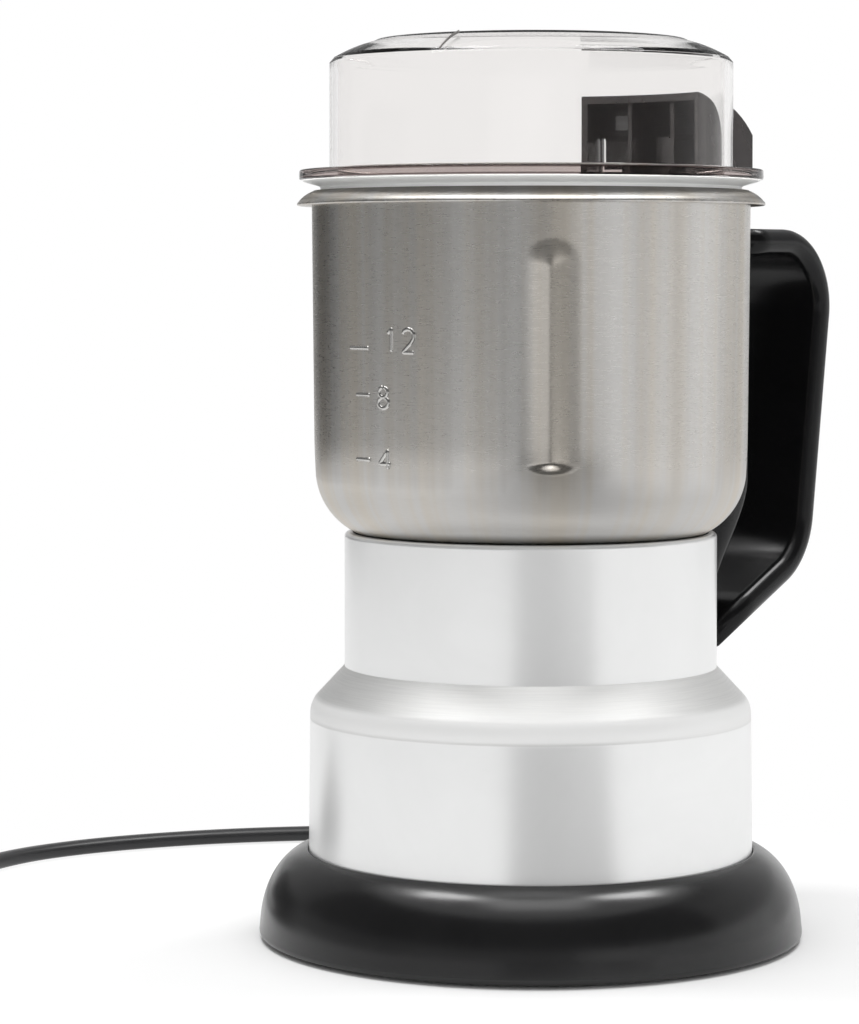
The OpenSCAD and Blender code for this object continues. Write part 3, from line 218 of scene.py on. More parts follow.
def coilPath(c):
    keys = np.array(c["coilKeys"], float)
    out = []
    for t in np.arange(0, keys[-1][0] + 0.01, c["coilStep"]):
        i = min(np.searchsorted(keys[:, 0], t, side="right"), len(keys) - 1)
        share = (t - keys[i - 1, 0]) / (keys[i, 0] - keys[i - 1, 0])
        share = min(share, 1) ** 2 * (3 - 2 * min(share, 1))
        r, z = keys[i - 1, 1:] + (keys[i, 1:] - keys[i - 1, 1:]) * share
        angle = c["coilStart"] - t
        off = (angle - c["tieAngle"] + 180) % 360 - 180
        z += c["tieLift"] * math.exp(-(off / c["tieSpan"]) ** 2)
        a = math.radians(angle)
        out.append((c["coilCentre"][0] + r * math.cos(a), c["coilCentre"][1] + r * math.sin(a), z))
    return out


def makeCord(c):
    coil = coilPath(c)
    line = spreadPath(c["run"] + coil[:1], steps=6)[:-1] + coil[:-1]
    line += spreadPath(coil[-1:] + c["tail"], steps=8)
    line = [np.array(p) for p in line if p[0] > c["hidden"][0] or p[1] > c["hidden"][1]]
    path, length = evenPath([p * mm for p in line], c["step"] * mm)
    ring = ovalRing(c["width"] * mm, c["thick"] * mm)
    verts, faces = sweepFlat(path, lambda i: ring)
    return newPiece("mains_cord", verts, faces), path, length


mainsCord, cordPath, cordLength = makeCord(cordLay)
print("cord laid:", round(cordLength, 3), "m")

# the moulded sleeve that keeps the cord from kinking at the base
sleeve = {
    "from": 55.6,
    "length": 31.0,
    "z": 9.8,
    "rootR": 4.3,
    "tipR": 2.5,
    "taperFrom": 63,
    "flatten": 0.2,  # how much lower than wide the tip is
    "least": (3.25, 2.15),  # half width and half height that still cover the cord
    "flange": (55.6, 57.6, 5.2),
    "ribs": 6,
    "ribFrom": 66,
    "ribLength": 19,
    "ribShare": 0.55,
    "ribDepth": 0.55,
    "step": 0.45,
}


def makeSleeve(s):
    route = spreadPath([(s["from"], 0, s["z"])] + cordLay["run"][1:5], steps=24)
    line, _ = evenPath([q * mm for q in route], s["step"] * mm)
    line = [q for q in line if np.linalg.norm(q - line[0]) <= s["length"] * mm]
    taperL = s["from"] + s["length"] - s["taperFrom"]

    def section(i):
        x = line[i][0] / mm
        r = s["rootR"] + (s["tipR"] - s["rootR"]) * max(0.0, (x - s["taperFrom"]) / taperL)
        if s["flange"][0] <= x <= s["flange"][1]:
            r = s["flange"][2]
        wave = (x - s["ribFrom"]) / s["ribLength"] * s["ribs"]
        if 0 < wave < s["ribs"] and wave % 1 > s["ribShare"]:
            r -= s["ribDepth"]
        tall = r * (1 - s["flatten"] * i / (len(line) - 1))
        halfW, halfH = max(r, s["least"][0]), max(tall, s["least"][1])
        return ovalRing(2 * halfW * mm, 2 * halfH * mm, count=32, power=2.2)

    return newPiece("relief_sleeve", *sweepFlat(line, section))


reliefSleeve = makeSleeve(sleeve)


# shader nodes
def feed(tree, node, inputs):  # an input takes another node's output or a plain value
    for key, value in inputs.items():
        if isinstance(value, bpy.types.NodeSocket):
            tree.links.new(value, node.inputs[key])
        else:
            node.inputs[key].default_value = value


def addNode(tree, kind, inputs=None, **settings):
    node = tree.nodes.new(kind)
    for key, value in settings.items():
        setattr(node, key, value)
    feed(tree, node, inputs or {})
    return node


def mathNode(tree, operation, a, b, clamp=False):
    node = addNode(tree, "ShaderNodeMath", {0: a, 1: b}, operation=operation, use_clamp=clamp)
    return node.outputs[0]


def addShare(tree, value, extra, share):
    return mathNode(tree, "ADD", value, mathNode(tree, "MULTIPLY", extra, share))


def vectorNode(tree, operation, *inputs, output="Vector"):
    node = addNode(tree, "ShaderNodeVectorMath", dict(enumerate(inputs)), operation=operation)
    return node.outputs[output]


def objectPlace(tree):
    return addNode(tree, "ShaderNodeTexCoord").outputs["Object"]


def noise(tree, where, scale, detail, rough, distortion=0.0):
    return addNode(tree, "ShaderNodeTexNoise", {
        "Vector": where, "Scale": scale, "Detail": detail, "Roughness": rough,
        "Distortion": distortion}).outputs["Fac"]


# node groups shared by the materials
def newGroup(name, inputs, outputs):
    group = bpy.data.node_groups.new(name, "ShaderNodeTree")
    for label, value in inputs.items():
        socket = group.interface.new_socket(name=label, in_out="INPUT", socket_type="NodeSocketFloat")
        socket.default_value = value
    for label in outputs:
        group.interface.new_socket(name=label, in_out="OUTPUT", socket_type="NodeSocketFloat")
    return group, group.nodes.new("NodeGroupInput").outputs, group.nodes.new("NodeGroupOutput")


def makeStreaks():  # fine lines that run round the part, as a turned brushing leaves them
    group, given, end = newGroup("turnedBrushing", {
        "Streak Length": 130.0, "Line Density": 2600.0, "Seed": 0.0}, ["Streaks", "Bands"])
    where = objectPlace(group)
    scale = addNode(group, "ShaderNodeCombineXYZ", {
        "X": given["Streak Length"], "Y": given["Streak Length"], "Z": given["Line Density"]}).outputs[0]
    shift = addNode(group, "ShaderNodeCombineXYZ", {"X": given["Seed"]}).outputs[0]
    place = vectorNode(group, "ADD", vectorNode(group, "MULTIPLY", where, scale), shift)
    # upright bands: the direction round the axis alone, so they keep one tone over the height; on the
    # bowl they are partly uneven polish and partly painted reflection bands
    around = vectorNode(group, "NORMALIZE", vectorNode(group, "MULTIPLY", where, (1, 1, 0)))
    around = vectorNode(group, "ADD", around, shift)
    feed(group, end, {"Streaks": noise(group, place, scale=1.0, detail=3.0, rough=0.7),
                      "Bands": noise(group, around, scale=6.5, detail=3.0, rough=0.6)})
    return group


def makeZone():  # 1 between two heights in metres, with soft edges
    group, given, end = newGroup("heightZone", {"Low": 0.0, "High": 0.1, "Soft": 0.0002}, ["Mask"])
    z = addNode(group, "ShaderNodeSeparateXYZ", {0: objectPlace(group)}).outputs["Z"]
    edges = [mathNode(group, "DIVIDE", mathNode(group, "SUBTRACT", a, b), given["Soft"], clamp=True)
             for a, b in ((z, given["Low"]), (given["High"], z))]
    feed(group, end, {"Mask": mathNode(group, "MULTIPLY", *edges)})
    return group


def makeGrain():  # the faint texture of moulded plastic and paint
    group, given, end = newGroup("mouldedGrain", {
        "Grain Scale": 1500.0, "Wave Scale": 45.0}, ["Grain", "Waves"])
    where = objectPlace(group)
    feed(group, end, {"Grain": noise(group, where, given["Grain Scale"], detail=2.0, rough=0.6),
                      "Waves": noise(group, where, given["Wave Scale"], detail=1.5, rough=0.5)})
    return group


def makeHandling():  # the uneven patches that handling leaves
    group, given, end = newGroup("handlingMarks", {"Patch Scale": 35.0}, ["Patches"])
    feed(group, end, {"Patches": noise(group, objectPlace(group), given["Patch Scale"],
                                       detail=4.0, rough=0.65, distortion=0.6)})
    return group


turnedBrushing = makeStreaks()
heightZone = makeZone()
mouldedGrain = makeGrain()
handlingMarks = makeHandling()


# materials
def newMaterial(name):
    material = bpy.data.materials.new(name)
    material.use_nodes = True
    tree = material.node_tree
    return material, tree, tree.nodes["Principled BSDF"]


def placeGroup(tree, group, **values):
    inputs = {key.replace("_", " "): value for key, value in values.items()}
    return addNode(tree, "ShaderNodeGroup", inputs, node_tree=group)


def heightMask(tree, low, high, soft):
    return placeGroup(tree, heightZone, Low=low, High=high, Soft=soft).outputs["Mask"]


def patchesOf(tree, scale=35.0):
    return placeGroup(tree, handlingMarks, Patch_Scale=scale).outputs["Patches"]


def ramp(tree, value, low, high, fromMin=0.0, fromMax=1.0):  # a value from one range into another
    return addNode(tree, "ShaderNodeMapRange", {"Value": value, "From Min": fromMin, "From Max": fromMax,
                                                "To Min": low, "To Max": high}).outputs["Result"]


def spread(tree, pattern, low=0.0, high=1.0):  # a noise keeps to its middle, which is drawn out here
    return ramp(tree, pattern, low, high, 0.3, 0.7)


def blend(tree, factor, a, b, mode="MIX"):  # a colour is three numbers or another node's output
    a, b = [(*c, 1) if isinstance(c, tuple) else c for c in (a, b)]
    node = addNode(tree, "ShaderNodeMix", {0: factor, 6: a, 7: b}, data_type="RGBA", blend_type=mode)
    return node.outputs[2]


def tint(color, share):
    return tuple(min(1.0, c * share) for c in color)


def bump(tree, shader, height, strength, distance):
    node = addNode(tree, "ShaderNodeBump", {"Height": height, "Strength": strength, "Distance": distance})
    feed(tree, shader, {"Normal": node.outputs[0]})


def mixShaders(tree, factor, first, second):
    mix = addNode(tree, "ShaderNodeMixShader", {0: factor, 1: first.outputs[0], 2: second.outputs[0]})
    feed(tree, tree.nodes["Material Output"], {"Surface": mix.outputs[0]})


bowlSteel = {
    "dark": (0.5, 0.48, 0.455), "light": (0.67, 0.66, 0.645), "warmth": (1.0, 0.955, 0.885),
    "streakLength": 330.0, "lineDensity": 3900.0, "lineDepth": 0.000006, "lineStrength": 0.5,
    "streakShare": 0.42, "polishAndReflectionBandShare": 0.58, "bandRange": (0.33, 0.67),
    "warmSeed": 11.0, "warmRange": (0.42, 0.62),
    "roughLow": 0.25, "roughHigh": 0.34, "anisotropic": 0.65,
    # rim tone: painted shade on the rolled rim
    "rimLow": 0.1727, "rimSoft": 0.0005, "rimShadeTone": 0.42, "rimRough": 0.2,
    # corner lift: painted light on the round bottom corner
    "cornerHigh": 0.1125, "cornerSoft": 0.007, "cornerRough": 0.24, "cornerPaintedLight": 0.7,
}


def makeBrushedSteel(name, s):
    material, tree, shader = newMaterial(name)
    brushing = placeGroup(tree, turnedBrushing, Streak_Length=s["streakLength"],
                          Line_Density=s["lineDensity"]).outputs
    streak, band = brushing["Streaks"], brushing["Bands"]
    tone = mathNode(tree, "MULTIPLY", spread(tree, streak, 0.25, 0.75), s["streakShare"])
    # upright bands of tone and their warm tint: partly uneven polish, partly painted reflection bands
    tone = addShare(tree, tone, ramp(tree, band, 0.0, 1.0, *s["bandRange"]), s["polishAndReflectionBandShare"])
    # the drawing press leaves the round bottom corner satin; the corner is also painted lighter, painted
    # light
    corner = heightMask(tree, 0.0, s["cornerHigh"], s["cornerSoft"])
    tone = addShare(tree, tone, corner, s["cornerPaintedLight"])
    warmDark, warmLight = [tuple(c * k for c, k in zip(s[key], s["warmth"])) for key in ("dark", "light")]
    other = placeGroup(tree, turnedBrushing, Seed=s["warmSeed"]).outputs["Bands"]
    colour = blend(tree, ramp(tree, other, 0.0, 1.0, *s["warmRange"]),
                   blend(tree, tone, s["dark"], s["light"]), blend(tree, tone, warmDark, warmLight))
    # the rolled rim is painted darker, painted shade that tones down its bright lamp reflections, and it
    # is duller than the wall
    rim = heightMask(tree, s["rimLow"], 1.0, s["rimSoft"])
    shade = blend(tree, rim, (1, 1, 1), (s["rimShadeTone"],) * 3)
    rough = addShare(tree, spread(tree, streak, s["roughLow"], s["roughHigh"]), rim, s["rimRough"])
    feed(tree, shader, {
        "Base Color": blend(tree, 1.0, colour, shade, "MULTIPLY"),
        "Roughness": addShare(tree, rough, corner, s["cornerRough"]),
        "Metallic": 1.0,
        "Anisotropic": s["anisotropic"],
        "Tangent": addNode(tree, "ShaderNodeTangent", direction_type="RADIAL", axis="Z").outputs[0]})
    bump(tree, shader, streak, strength=s["lineStrength"], distance=s["lineDepth"])
    return material


def makePlainSteel(name, color, rough):  # turned and plated parts
    material, tree, shader = newMaterial(name)
    patches = patchesOf(tree, 90.0)
    feed(tree, shader, {
        "Base Color": blend(tree, spread(tree, patches), tint(color, 0.82), color),
        "Roughness": spread(tree, patches, rough * 0.8, rough * 1.3),
        "Metallic": 1.0})
    bump(tree, shader, patches, strength=0.15, distance=0.00002)
    return material


def makePlastic(name, color, rough, grain=0.15, level=0.5, lift=1.35):
    material, tree, shader = newMaterial(name)
    moulded = placeGroup(tree, mouldedGrain).outputs
    patches = patchesOf(tree)
    feed(tree, shader, {
        "Base Color": blend(tree, spread(tree, patches), color, tint(color, lift)),
        "Roughness": spread(tree, patches, rough * 0.88, rough * 1.18),
        "Specular IOR Level": level})
    height = addShare(tree, moulded["Waves"], moulded["Grain"], grain)
    bump(tree, shader, height, strength=0.25, distance=0.00006)
    return material


bodyFinish = {
    "lacquer": (0.85, 0.853, 0.85), "lacquerLight": (0.88, 0.883, 0.88), "lacquerRough": 0.28,
    "stepLow": 0.05145, "stepHigh": 0.0640, "stepSoft": 0.00025,
    "stepDark": (0.73, 0.73, 0.723), "stepLight": (0.8, 0.8, 0.79), "stepRough": 0.52,
    "metalLow": 0.6, "metalHigh": 0.9,
    "creaseLow": 0.0512, "creaseHigh": 0.0573, "creaseSoft": 0.0012, "crease": (0.83, 0.83, 0.825),
    "creaseDull": 0.6,
}


def makeBodyLacquer(f):  # silver lacquer with a brushed, sloping step between the two cylinders
    material, tree, shader = newMaterial("body_lacquer")
    zone = heightMask(tree, f["stepLow"], f["stepHigh"], f["stepSoft"])
    low = heightMask(tree, f["creaseLow"], f["creaseHigh"], f["creaseSoft"])
    brushing = placeGroup(tree, turnedBrushing, Streak_Length=60.0, Line_Density=3800.0, Seed=7.0)
    streak = brushing.outputs["Streaks"]
    grain = placeGroup(tree, mouldedGrain, Grain_Scale=2600.0).outputs["Grain"]
    lacquer = blend(tree, spread(tree, patchesOf(tree)), f["lacquer"], f["lacquerLight"])
    step = blend(tree, low, blend(tree, spread(tree, streak), f["stepDark"], f["stepLight"]), f["crease"])
    metal = ramp(tree, zone, f["metalLow"], f["metalHigh"])
    feed(tree, shader, {
        "Base Color": blend(tree, zone, lacquer, step),
        "Metallic": addShare(tree, metal, low, -f["creaseDull"]),
        "Roughness": ramp(tree, zone, f["lacquerRough"], f["stepRough"])})
    height = addShare(tree, mathNode(tree, "MULTIPLY", streak, zone), grain, 0.25)
    bump(tree, shader, height, strength=0.4, distance=0.00001)
    return material


clearFinish = {
    "clear": (0.926, 0.915, 0.908), "rough": 0.02, "ior": 1.14,
    # flange and edge colours: painted shade on the lid's flange band and its middle line
    "flange": (0.44, 0.38, 0.365), "flangeLow": 0.1777, "flangeHigh": 0.1799, "flangeSoft": 0.00015,
    "edge": (0.06, 0.042, 0.04), "edgeLow": 0.1781, "edgeHigh": 0.1796, "edgeSoft": 0.00012,
    "shadow": (0.93, 0.92, 0.91, 1),
}


def makeClear(name, f):  # the flange is painted darker brown with a painted dark middle line: painted shade for the flange seen edge-on, through much more of the faintly brown plastic
    material, tree, shader = newMaterial(name)
    patches = patchesOf(tree, 28.0)
    tone = spread(tree, patches)
    zone = heightMask(tree, f["flangeLow"], f["flangeHigh"], f["flangeSoft"])
    middle = heightMask(tree, f["edgeLow"], f["edgeHigh"], f["edgeSoft"])
    wall = blend(tree, tone, f["clear"], tint(f["clear"], 0.985))
    # painted shade: the flange band and its dark middle line
    flangeShadeColour = blend(tree, middle, f["edge"], blend(tree, tone, f["flange"], tint(f["flange"], 1.15)))
    feed(tree, shader, {
        "Base Color": blend(tree, zone, wall, flangeShadeColour),
        "Roughness": spread(tree, patches, f["rough"] * 0.6, f["rough"] * 1.5),
        "Transmission Weight": 1.0,
        "IOR": f["ior"]})
    waves = placeGroup(tree, mouldedGrain, Wave_Scale=60.0).outputs["Waves"]
    bump(tree, shader, waves, strength=0.08, distance=0.00008)
    # lamps shine through to what stands behind
    path = addNode(tree, "ShaderNodeLightPath")
    through = addNode(tree, "ShaderNodeBsdfTransparent", {"Color": f["shadow"]})
    mixShaders(tree, path.outputs["Is Shadow Ray"], shader, through)
    return material


def makeSilicone(name, color, rough):
    material, tree, shader = newMaterial(name)
    moulded = placeGroup(tree, mouldedGrain, Grain_Scale=900.0).outputs
    grain = moulded["Grain"]
    feed(tree, shader, {
        "Base Color": blend(tree, spread(tree, moulded["Waves"]), color, tint(color, 1.06)),
        "Roughness": spread(tree, grain, rough * 0.9, rough * 1.15),
        "Subsurface Weight": 0.35,
        "Subsurface Radius": (0.002, 0.002, 0.002)})
    bump(tree, shader, grain, strength=0.12, distance=0.00003)
    return material


finishes = {
    "gloss_black": makePlastic("gloss_black", (0.004, 0.004, 0.0043), 0.23, level=0.5),
    "handle_black": makePlastic("handle_black", (0.004, 0.004, 0.0043), 0.2, level=0.22),
    "matte_black": makePlastic("matte_black", (0.022, 0.022, 0.023), 0.5, grain=0.5),
    "dark_rubber": makePlastic("dark_rubber", (0.02, 0.02, 0.02), 0.72, grain=0.8),
    "smoke_plastic": makePlastic("smoke_plastic", (0.02, 0.016, 0.0155), 0.13, level=0.7),
    "screw_steel": makePlainSteel("screw_steel", (0.62, 0.62, 0.63), 0.3),
    "body_lacquer": makeBodyLacquer(bodyFinish),
    "chassis_plastic": makePlastic("chassis_plastic", (0.52, 0.52, 0.49), 0.45, lift=1.08),
    "bowl_steel": makeBrushedSteel("bowl_steel", bowlSteel),
    "mark_steel": makePlainSteel("mark_steel", (0.66, 0.65, 0.63), 0.2),
    "lid_seam": makePlastic("lid_seam", (0.2, 0.19, 0.185), 0.3, lift=1.1),
    "natural_nylon": makePlastic("natural_nylon", (0.72, 0.71, 0.66), 0.4, lift=1.05),
    "spring_steel": makePlainSteel("spring_steel", (0.58, 0.58, 0.6), 0.22),
    "red_plastic": makePlastic("red_plastic", (0.5, 0.03, 0.02), 0.3, lift=1.1),
    "clear_plastic": makeClear("clear_plastic", clearFinish),
    "seal_rubber": makeSilicone("seal_rubber", (0.93, 0.935, 0.92), 0.4),
    "blade_steel": makePlainSteel("blade_steel", (0.66, 0.66, 0.65), 0.2),
    "bronze": makePlainSteel("bronze", (0.56, 0.42, 0.2), 0.32),
    "lamination_steel": makePlainSteel("lamination_steel", (0.3, 0.3, 0.31), 0.45),
    "copper": makePlainSteel("copper", (0.64, 0.3, 0.14), 0.33),
    "zinc_sheet": makePlainSteel("zinc_sheet", (0.55, 0.55, 0.56), 0.36),
    "brass_sheet": makePlainSteel("brass_sheet", (0.62, 0.46, 0.2), 0.28),
    "carbon": makePlastic("carbon", (0.03, 0.03, 0.032), 0.55, grain=0.4),
    "board_green": makePlastic("board_green", (0.02, 0.12, 0.05), 0.35, lift=1.2),
    "film_yellow": makePlastic("film_yellow", (0.62, 0.42, 0.06), 0.3, lift=1.1),
    "cord_black": makePlastic("cord_black", (0.014, 0.014, 0.015), 0.36, grain=0.4, level=0.45),
}
print("materials made:", len(finishes))

# what each CAD node is finished with
slotOf = {row["node"]: row["material_slot"] for row in frame["record"]["subparts"]}
special = {"lid_hood": "smoke_plastic", "handle_grip": "handle_black", "handle_column": "handle_black"}


def dressNodes():
    for name, obj in nodes.items():
        material = finishes[special.get(name, slotOf[name])]
        if not obj.material_slots:
            obj.data.materials.append(material)
        for s in obj.material_slots:
            s.material = material


dressNodes()


def finishPiece(piece, finish, body, slot, *replaced):
    piece.data.materials.append(finishes[finish])
    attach(piece, body)
    if replaced:
        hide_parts(*replaced)
    return piece


# the cord and its sleeve stand for their plain solids
finishPiece(mainsCord, "cord_black", "motor_body", "power_cord", "power_cord", "cord_coil", "cord_tail")
finishPiece(reliefSleeve, "cord_black", "motor_body", "power_cord", "strain_relief")

# the black base, one moulding with a round shoulder
baseShape = {"outerR": 63.8, "lowZ": 0.8, "wallLow": 2.1, "shoulder": (50.8, 2.95), "half": (12.8, 18.1),
             "from": 7.4, "seatR": 52.3, "ledgeZ": 15.0, "ledge": 2.4, "ledgeInR": 47.0, "wall": 2.6}


def makeBase(b):
    (centreR, centreZ), (wide, tall) = b["shoulder"], b["half"]
    topAngle = math.degrees(math.acos((b["seatR"] + 0.5 - centreR) / wide))
    inner = b["outerR"] - b["wall"]
    outline = [(inner, b["lowZ"]), (b["outerR"] - 0.9, b["lowZ"]), (b["outerR"] - 0.35, b["lowZ"] + 0.25),
               (b["outerR"] - 0.06, b["lowZ"] + 0.75), (b["outerR"], b["wallLow"])]
    outline += [(centreR + wide * math.cos(a), centreZ + tall * math.sin(a))
                for a in np.radians(np.linspace(b["from"], topAngle, 30))]
    top = outline[-1][1]
    under = b["ledgeZ"] - b["ledge"]
    outline += [(b["seatR"] + 0.12, top - 0.08), (b["seatR"], top - 0.4), (b["seatR"], b["ledgeZ"]),
                (b["ledgeInR"], b["ledgeZ"]), (b["ledgeInR"], under), (inner - 4, under),
                (inner - 1, b["ledgeZ"] - 6)]
    return spin("base_shell", holdEdges(outline))


finishPiece(makeBase(baseShape), "gloss_black", "motor_body", "base_skirt", "base_skirt")

# the lacquered body: lower cylinder, sloping step and neck
bodyShape = {"lowR": 52.2, "draftR": 51.8, "slopeR": 52.0, "lowZ": 15.0, "stepZ": 55.3, "neckR": 43.7,
             "neckZ": 63.9, "topZ": 95.3, "round": 6.0, "edge": 1.0, "wall": 1.2, "lipR": 41.7}


def makeBody(b):
    slope = math.degrees(math.atan2(b["slopeR"] - b["neckR"], b["neckZ"] - b["stepZ"]))
    bendZ = b["stepZ"] - b["round"] * math.tan(math.radians(slope / 2))
    outer = [(b["lowR"], b["lowZ"]), (b["draftR"], bendZ)]
    outer += arcPoints((b["draftR"] - b["round"], bendZ), b["round"], 0, slope, 12)[1:]
    outer += [(b["neckR"], b["neckZ"])]
    outer += arcPoints((b["neckR"] - b["edge"], b["topZ"] - b["edge"]), b["edge"], 0, 90, 6)
    inner = [(b["lipR"], b["topZ"]), (b["lipR"], b["topZ"] - b["wall"]),
             (b["neckR"] - b["wall"], b["topZ"] - b["wall"] - 0.6),
             (b["neckR"] - b["wall"], b["neckZ"] - 0.5), (b["draftR"] - b["wall"], bendZ - 0.5),
             (b["lowR"] - b["wall"], b["lowZ"])]
    return spin("body_sleeve", holdEdges(outer + inner))


finishPiece(makeBody(bodyShape), "body_lacquer", "motor_body", "body_shell", "body_shell")

# the drawn bowl with a rolled rim and two pressed grooves
bowlShape = {
    "wallR": 51.3, "lowR": 50.7, "floorZ": 93.7, "corner": 16.5, "sheet": 1.0, "rimZ": 175.2,
    "rimOut": 3.5, "lip": 1.0, "dome": 8.0, "domeLow": 36, "domeHigh": 70, "holeR": 8.2,
    "grooves": [43.0, 223.0], "grooveLow": 111.2, "grooveHigh": 164.4,
    "grooveHalf": 7.4, "endLow": 2.8, "endHigh": 6.2, "grooveSoft": 0.13, "grooveDepth": 1.8,
    "pressSpan": 12, "pressIn": 2.6,  # the furthest that a groove reaches, in degrees and inwards
    "fineSpan": 10.5, "fineStep": 0.3, "coarseStep": 1.5,  # degrees from a groove, and between points
    "rimL": 3.4, "ease": 0.2, "easeL": 8.0,  # the wall leans in a little above the corner
}


def makeBowl(b):
    domeC = (b["wallR"] + b["rimOut"] - b["dome"] * math.cos(math.radians(b["domeLow"])) - 0.12,
             b["rimZ"] - 0.1 - b["dome"] * math.sin(math.radians(b["domeHigh"])))
    cornerC = (b["lowR"] - b["corner"] - b["ease"], b["floorZ"] + b["corner"])
    low, high = cornerC[1], b["rimZ"] - b["rimL"]
    dense = b["grooveLow"] + b["endLow"] + 0.4
    rows = np.concatenate([np.linspace(low, dense, 13)[:-1], np.linspace(dense, high, 60)])
    lean = -math.degrees(math.atan(2 * b["ease"] / b["easeL"]))

    def wallR(z):
        ease = b["ease"] * max(0.0, (low + b["easeL"] - z) / b["easeL"]) ** 2
        return b["lowR"] + (b["wallR"] - b["lowR"]) * (z - low) / (high - low) - ease

    outline = [(b["holeR"], b["floorZ"])] + arcPoints(cornerC, b["corner"], -90, lean, 26)[:-1]
    outline += [(wallR(z), z) for z in rows]
    outline += [(b["wallR"] + 0.05, b["rimZ"] - 2.4), (b["wallR"] + 0.5, b["rimZ"] - 1.75)]
    outline += arcPoints(domeC, b["dome"] - b["lip"], b["domeHigh"] - 8, b["domeLow"] + 2, 6)
    lipLine = arcPoints(domeC, b["dome"], b["domeLow"], b["domeHigh"], 12)
    edge = lipLine[0]
    outline += [(edge[0] - 0.62, edge[1] - 0.5), (edge[0] - 0.25, edge[1] - 0.62),
                (edge[0] + 0.02, edge[1] - 0.5), (edge[0] + 0.1, edge[1] - 0.22)] + lipLine
    outline += [(b["wallR"] - 0.4, b["rimZ"]), (b["wallR"] - b["sheet"] + 0.25, b["rimZ"] - 0.15),
                (b["wallR"] - b["sheet"], b["rimZ"] - 0.8)]
    outline += [(wallR(z) - b["sheet"], z) for z in rows[::-1]]
    outline += arcPoints(cornerC, b["corner"] - b["sheet"], lean, -90, 26)[1:]
    outline += [(b["holeR"], b["floorZ"] + b["sheet"])]

    def fromGroove(angle, groove):
        return abs((angle - groove + 180) % 360 - 180)

    def press(angle, r, z):
        if r < b["lowR"] - b["pressIn"] or z > high + 0.1:
            return 0.0
        deep = 0.0
        for g in b["grooves"]:
            off = fromGroove(angle, g)
            if off > b["pressSpan"]:
                continue
            u = math.radians(off) * b["wallR"]
            v = max((b["grooveLow"] + b["endLow"] - z) / b["endLow"], 0.0,
                    (z - b["grooveHigh"] + b["endHigh"]) / b["endHigh"]) * b["grooveHalf"]
            d = min(1.0, math.sqrt((u * u + v * v) / b["grooveHalf"] ** 2 + b["grooveSoft"] ** 2))
            deep = max(deep, b["grooveDepth"] * (1 - math.sin(math.pi / 2 * d)))
        return deep

    angles = []
    a = 0.0
    while a < 360:
        angles.append(a)
        near = min(fromGroove(a, g) for g in b["grooves"])
        a += b["fineStep"] if near < b["fineSpan"] else b["coarseStep"]
    return spin("bowl_drawn", outline, angles, press)


finishPiece(makeBowl(bowlShape), "bowl_steel", "motor_body", "bowl", "bowl")

# the clear lid and its white seal
lidShape = {"wallR": 47.2, "wall": 1.8, "topWall": 1.1, "skirtR": 46.9, "skirtZ": 171.2, "flangeR": 54.3,
            "flangeZ": 177.6, "flangeTop": 180.0, "edge": 0.5, "shoulderZ": 205.6, "shoulderEdge": 0.7,
            "rise": 4.4, "bulge": 0.5, "topZ": 210.4, "flatR": 36.5}


def makeLid(b):
    inR = b["skirtR"] - b["wall"]
    span = b["wallR"] - b["flatR"]
    edge, rim = b["edge"], b["shoulderEdge"]
    outline = [(inR + 0.2, b["skirtZ"]), (b["skirtR"] - 0.2, b["skirtZ"]),
               (b["skirtR"], b["skirtZ"] + 0.3), (b["skirtR"], b["flangeZ"])]
    outline += arcPoints((b["flangeR"] - edge, b["flangeZ"] + edge), edge, -90, 0, 4)
    outline += arcPoints((b["flangeR"] - edge, b["flangeTop"] - edge), edge, 0, 90, 4)
    outline += arcPoints((b["wallR"] + edge, b["flangeTop"] + edge), edge, -90, -180, 4)
    outline += arcPoints((b["wallR"] - rim, b["shoulderZ"] - 0.9), rim, 0, 55, 4)
    # the shoulder slopes up to the flat top with a slight bulge, outside and then inside
    for t in np.linspace(0.1, 0.94, 12):
        outline.append((b["wallR"] - span * t,
                        b["shoulderZ"] + b["rise"] * t + b["bulge"] * math.sin(math.pi * t)))
    outline += [(b["flatR"] - 0.2, b["topZ"] - 0.12), (b["flatR"] - 1.5, b["topZ"]), (0, b["topZ"]),
                (0, b["topZ"] - b["topWall"]), (b["flatR"] - 1.2, b["topZ"] - b["topWall"]),
                (b["flatR"] - 0.2, b["topZ"] - b["topWall"] - 0.2)]
    for t in np.linspace(0.9, 0.16, 8):
        outline.append((b["wallR"] - span * t, b["shoulderZ"] - b["topWall"] + (b["rise"] - 0.1) * t
                        + (b["bulge"] - 0.1) * math.sin(math.pi * t)))
    outline += [(inR + 0.15, b["shoulderZ"] - b["wall"] + 0.2), (inR, b["shoulderZ"] - b["wall"] - 1.0)]
    return spin("lid_clear", holdEdges(outline))


finishPiece(makeLid(lidShape), "clear_plastic", "lid_set", "lid", "lid")

sealShape = [(46.9, 177.58), (46.9, 172.0), (47.3, 171.6), (47.9, 171.6), (50.0, 172.6), (50.2, 172.9),
             (50.2, 173.9), (50.0, 174.2), (49.3, 174.8), (49.3, 176.0), (49.7, 176.3), (53.2, 177.3),
             (53.5, 177.5), (53.45, 177.58)]
finishPiece(spin("lid_seal_ring", holdEdges(sealShape)), "seal_rubber", "lid_set", "lid_seal", "lid_seal")
print("shells turned")

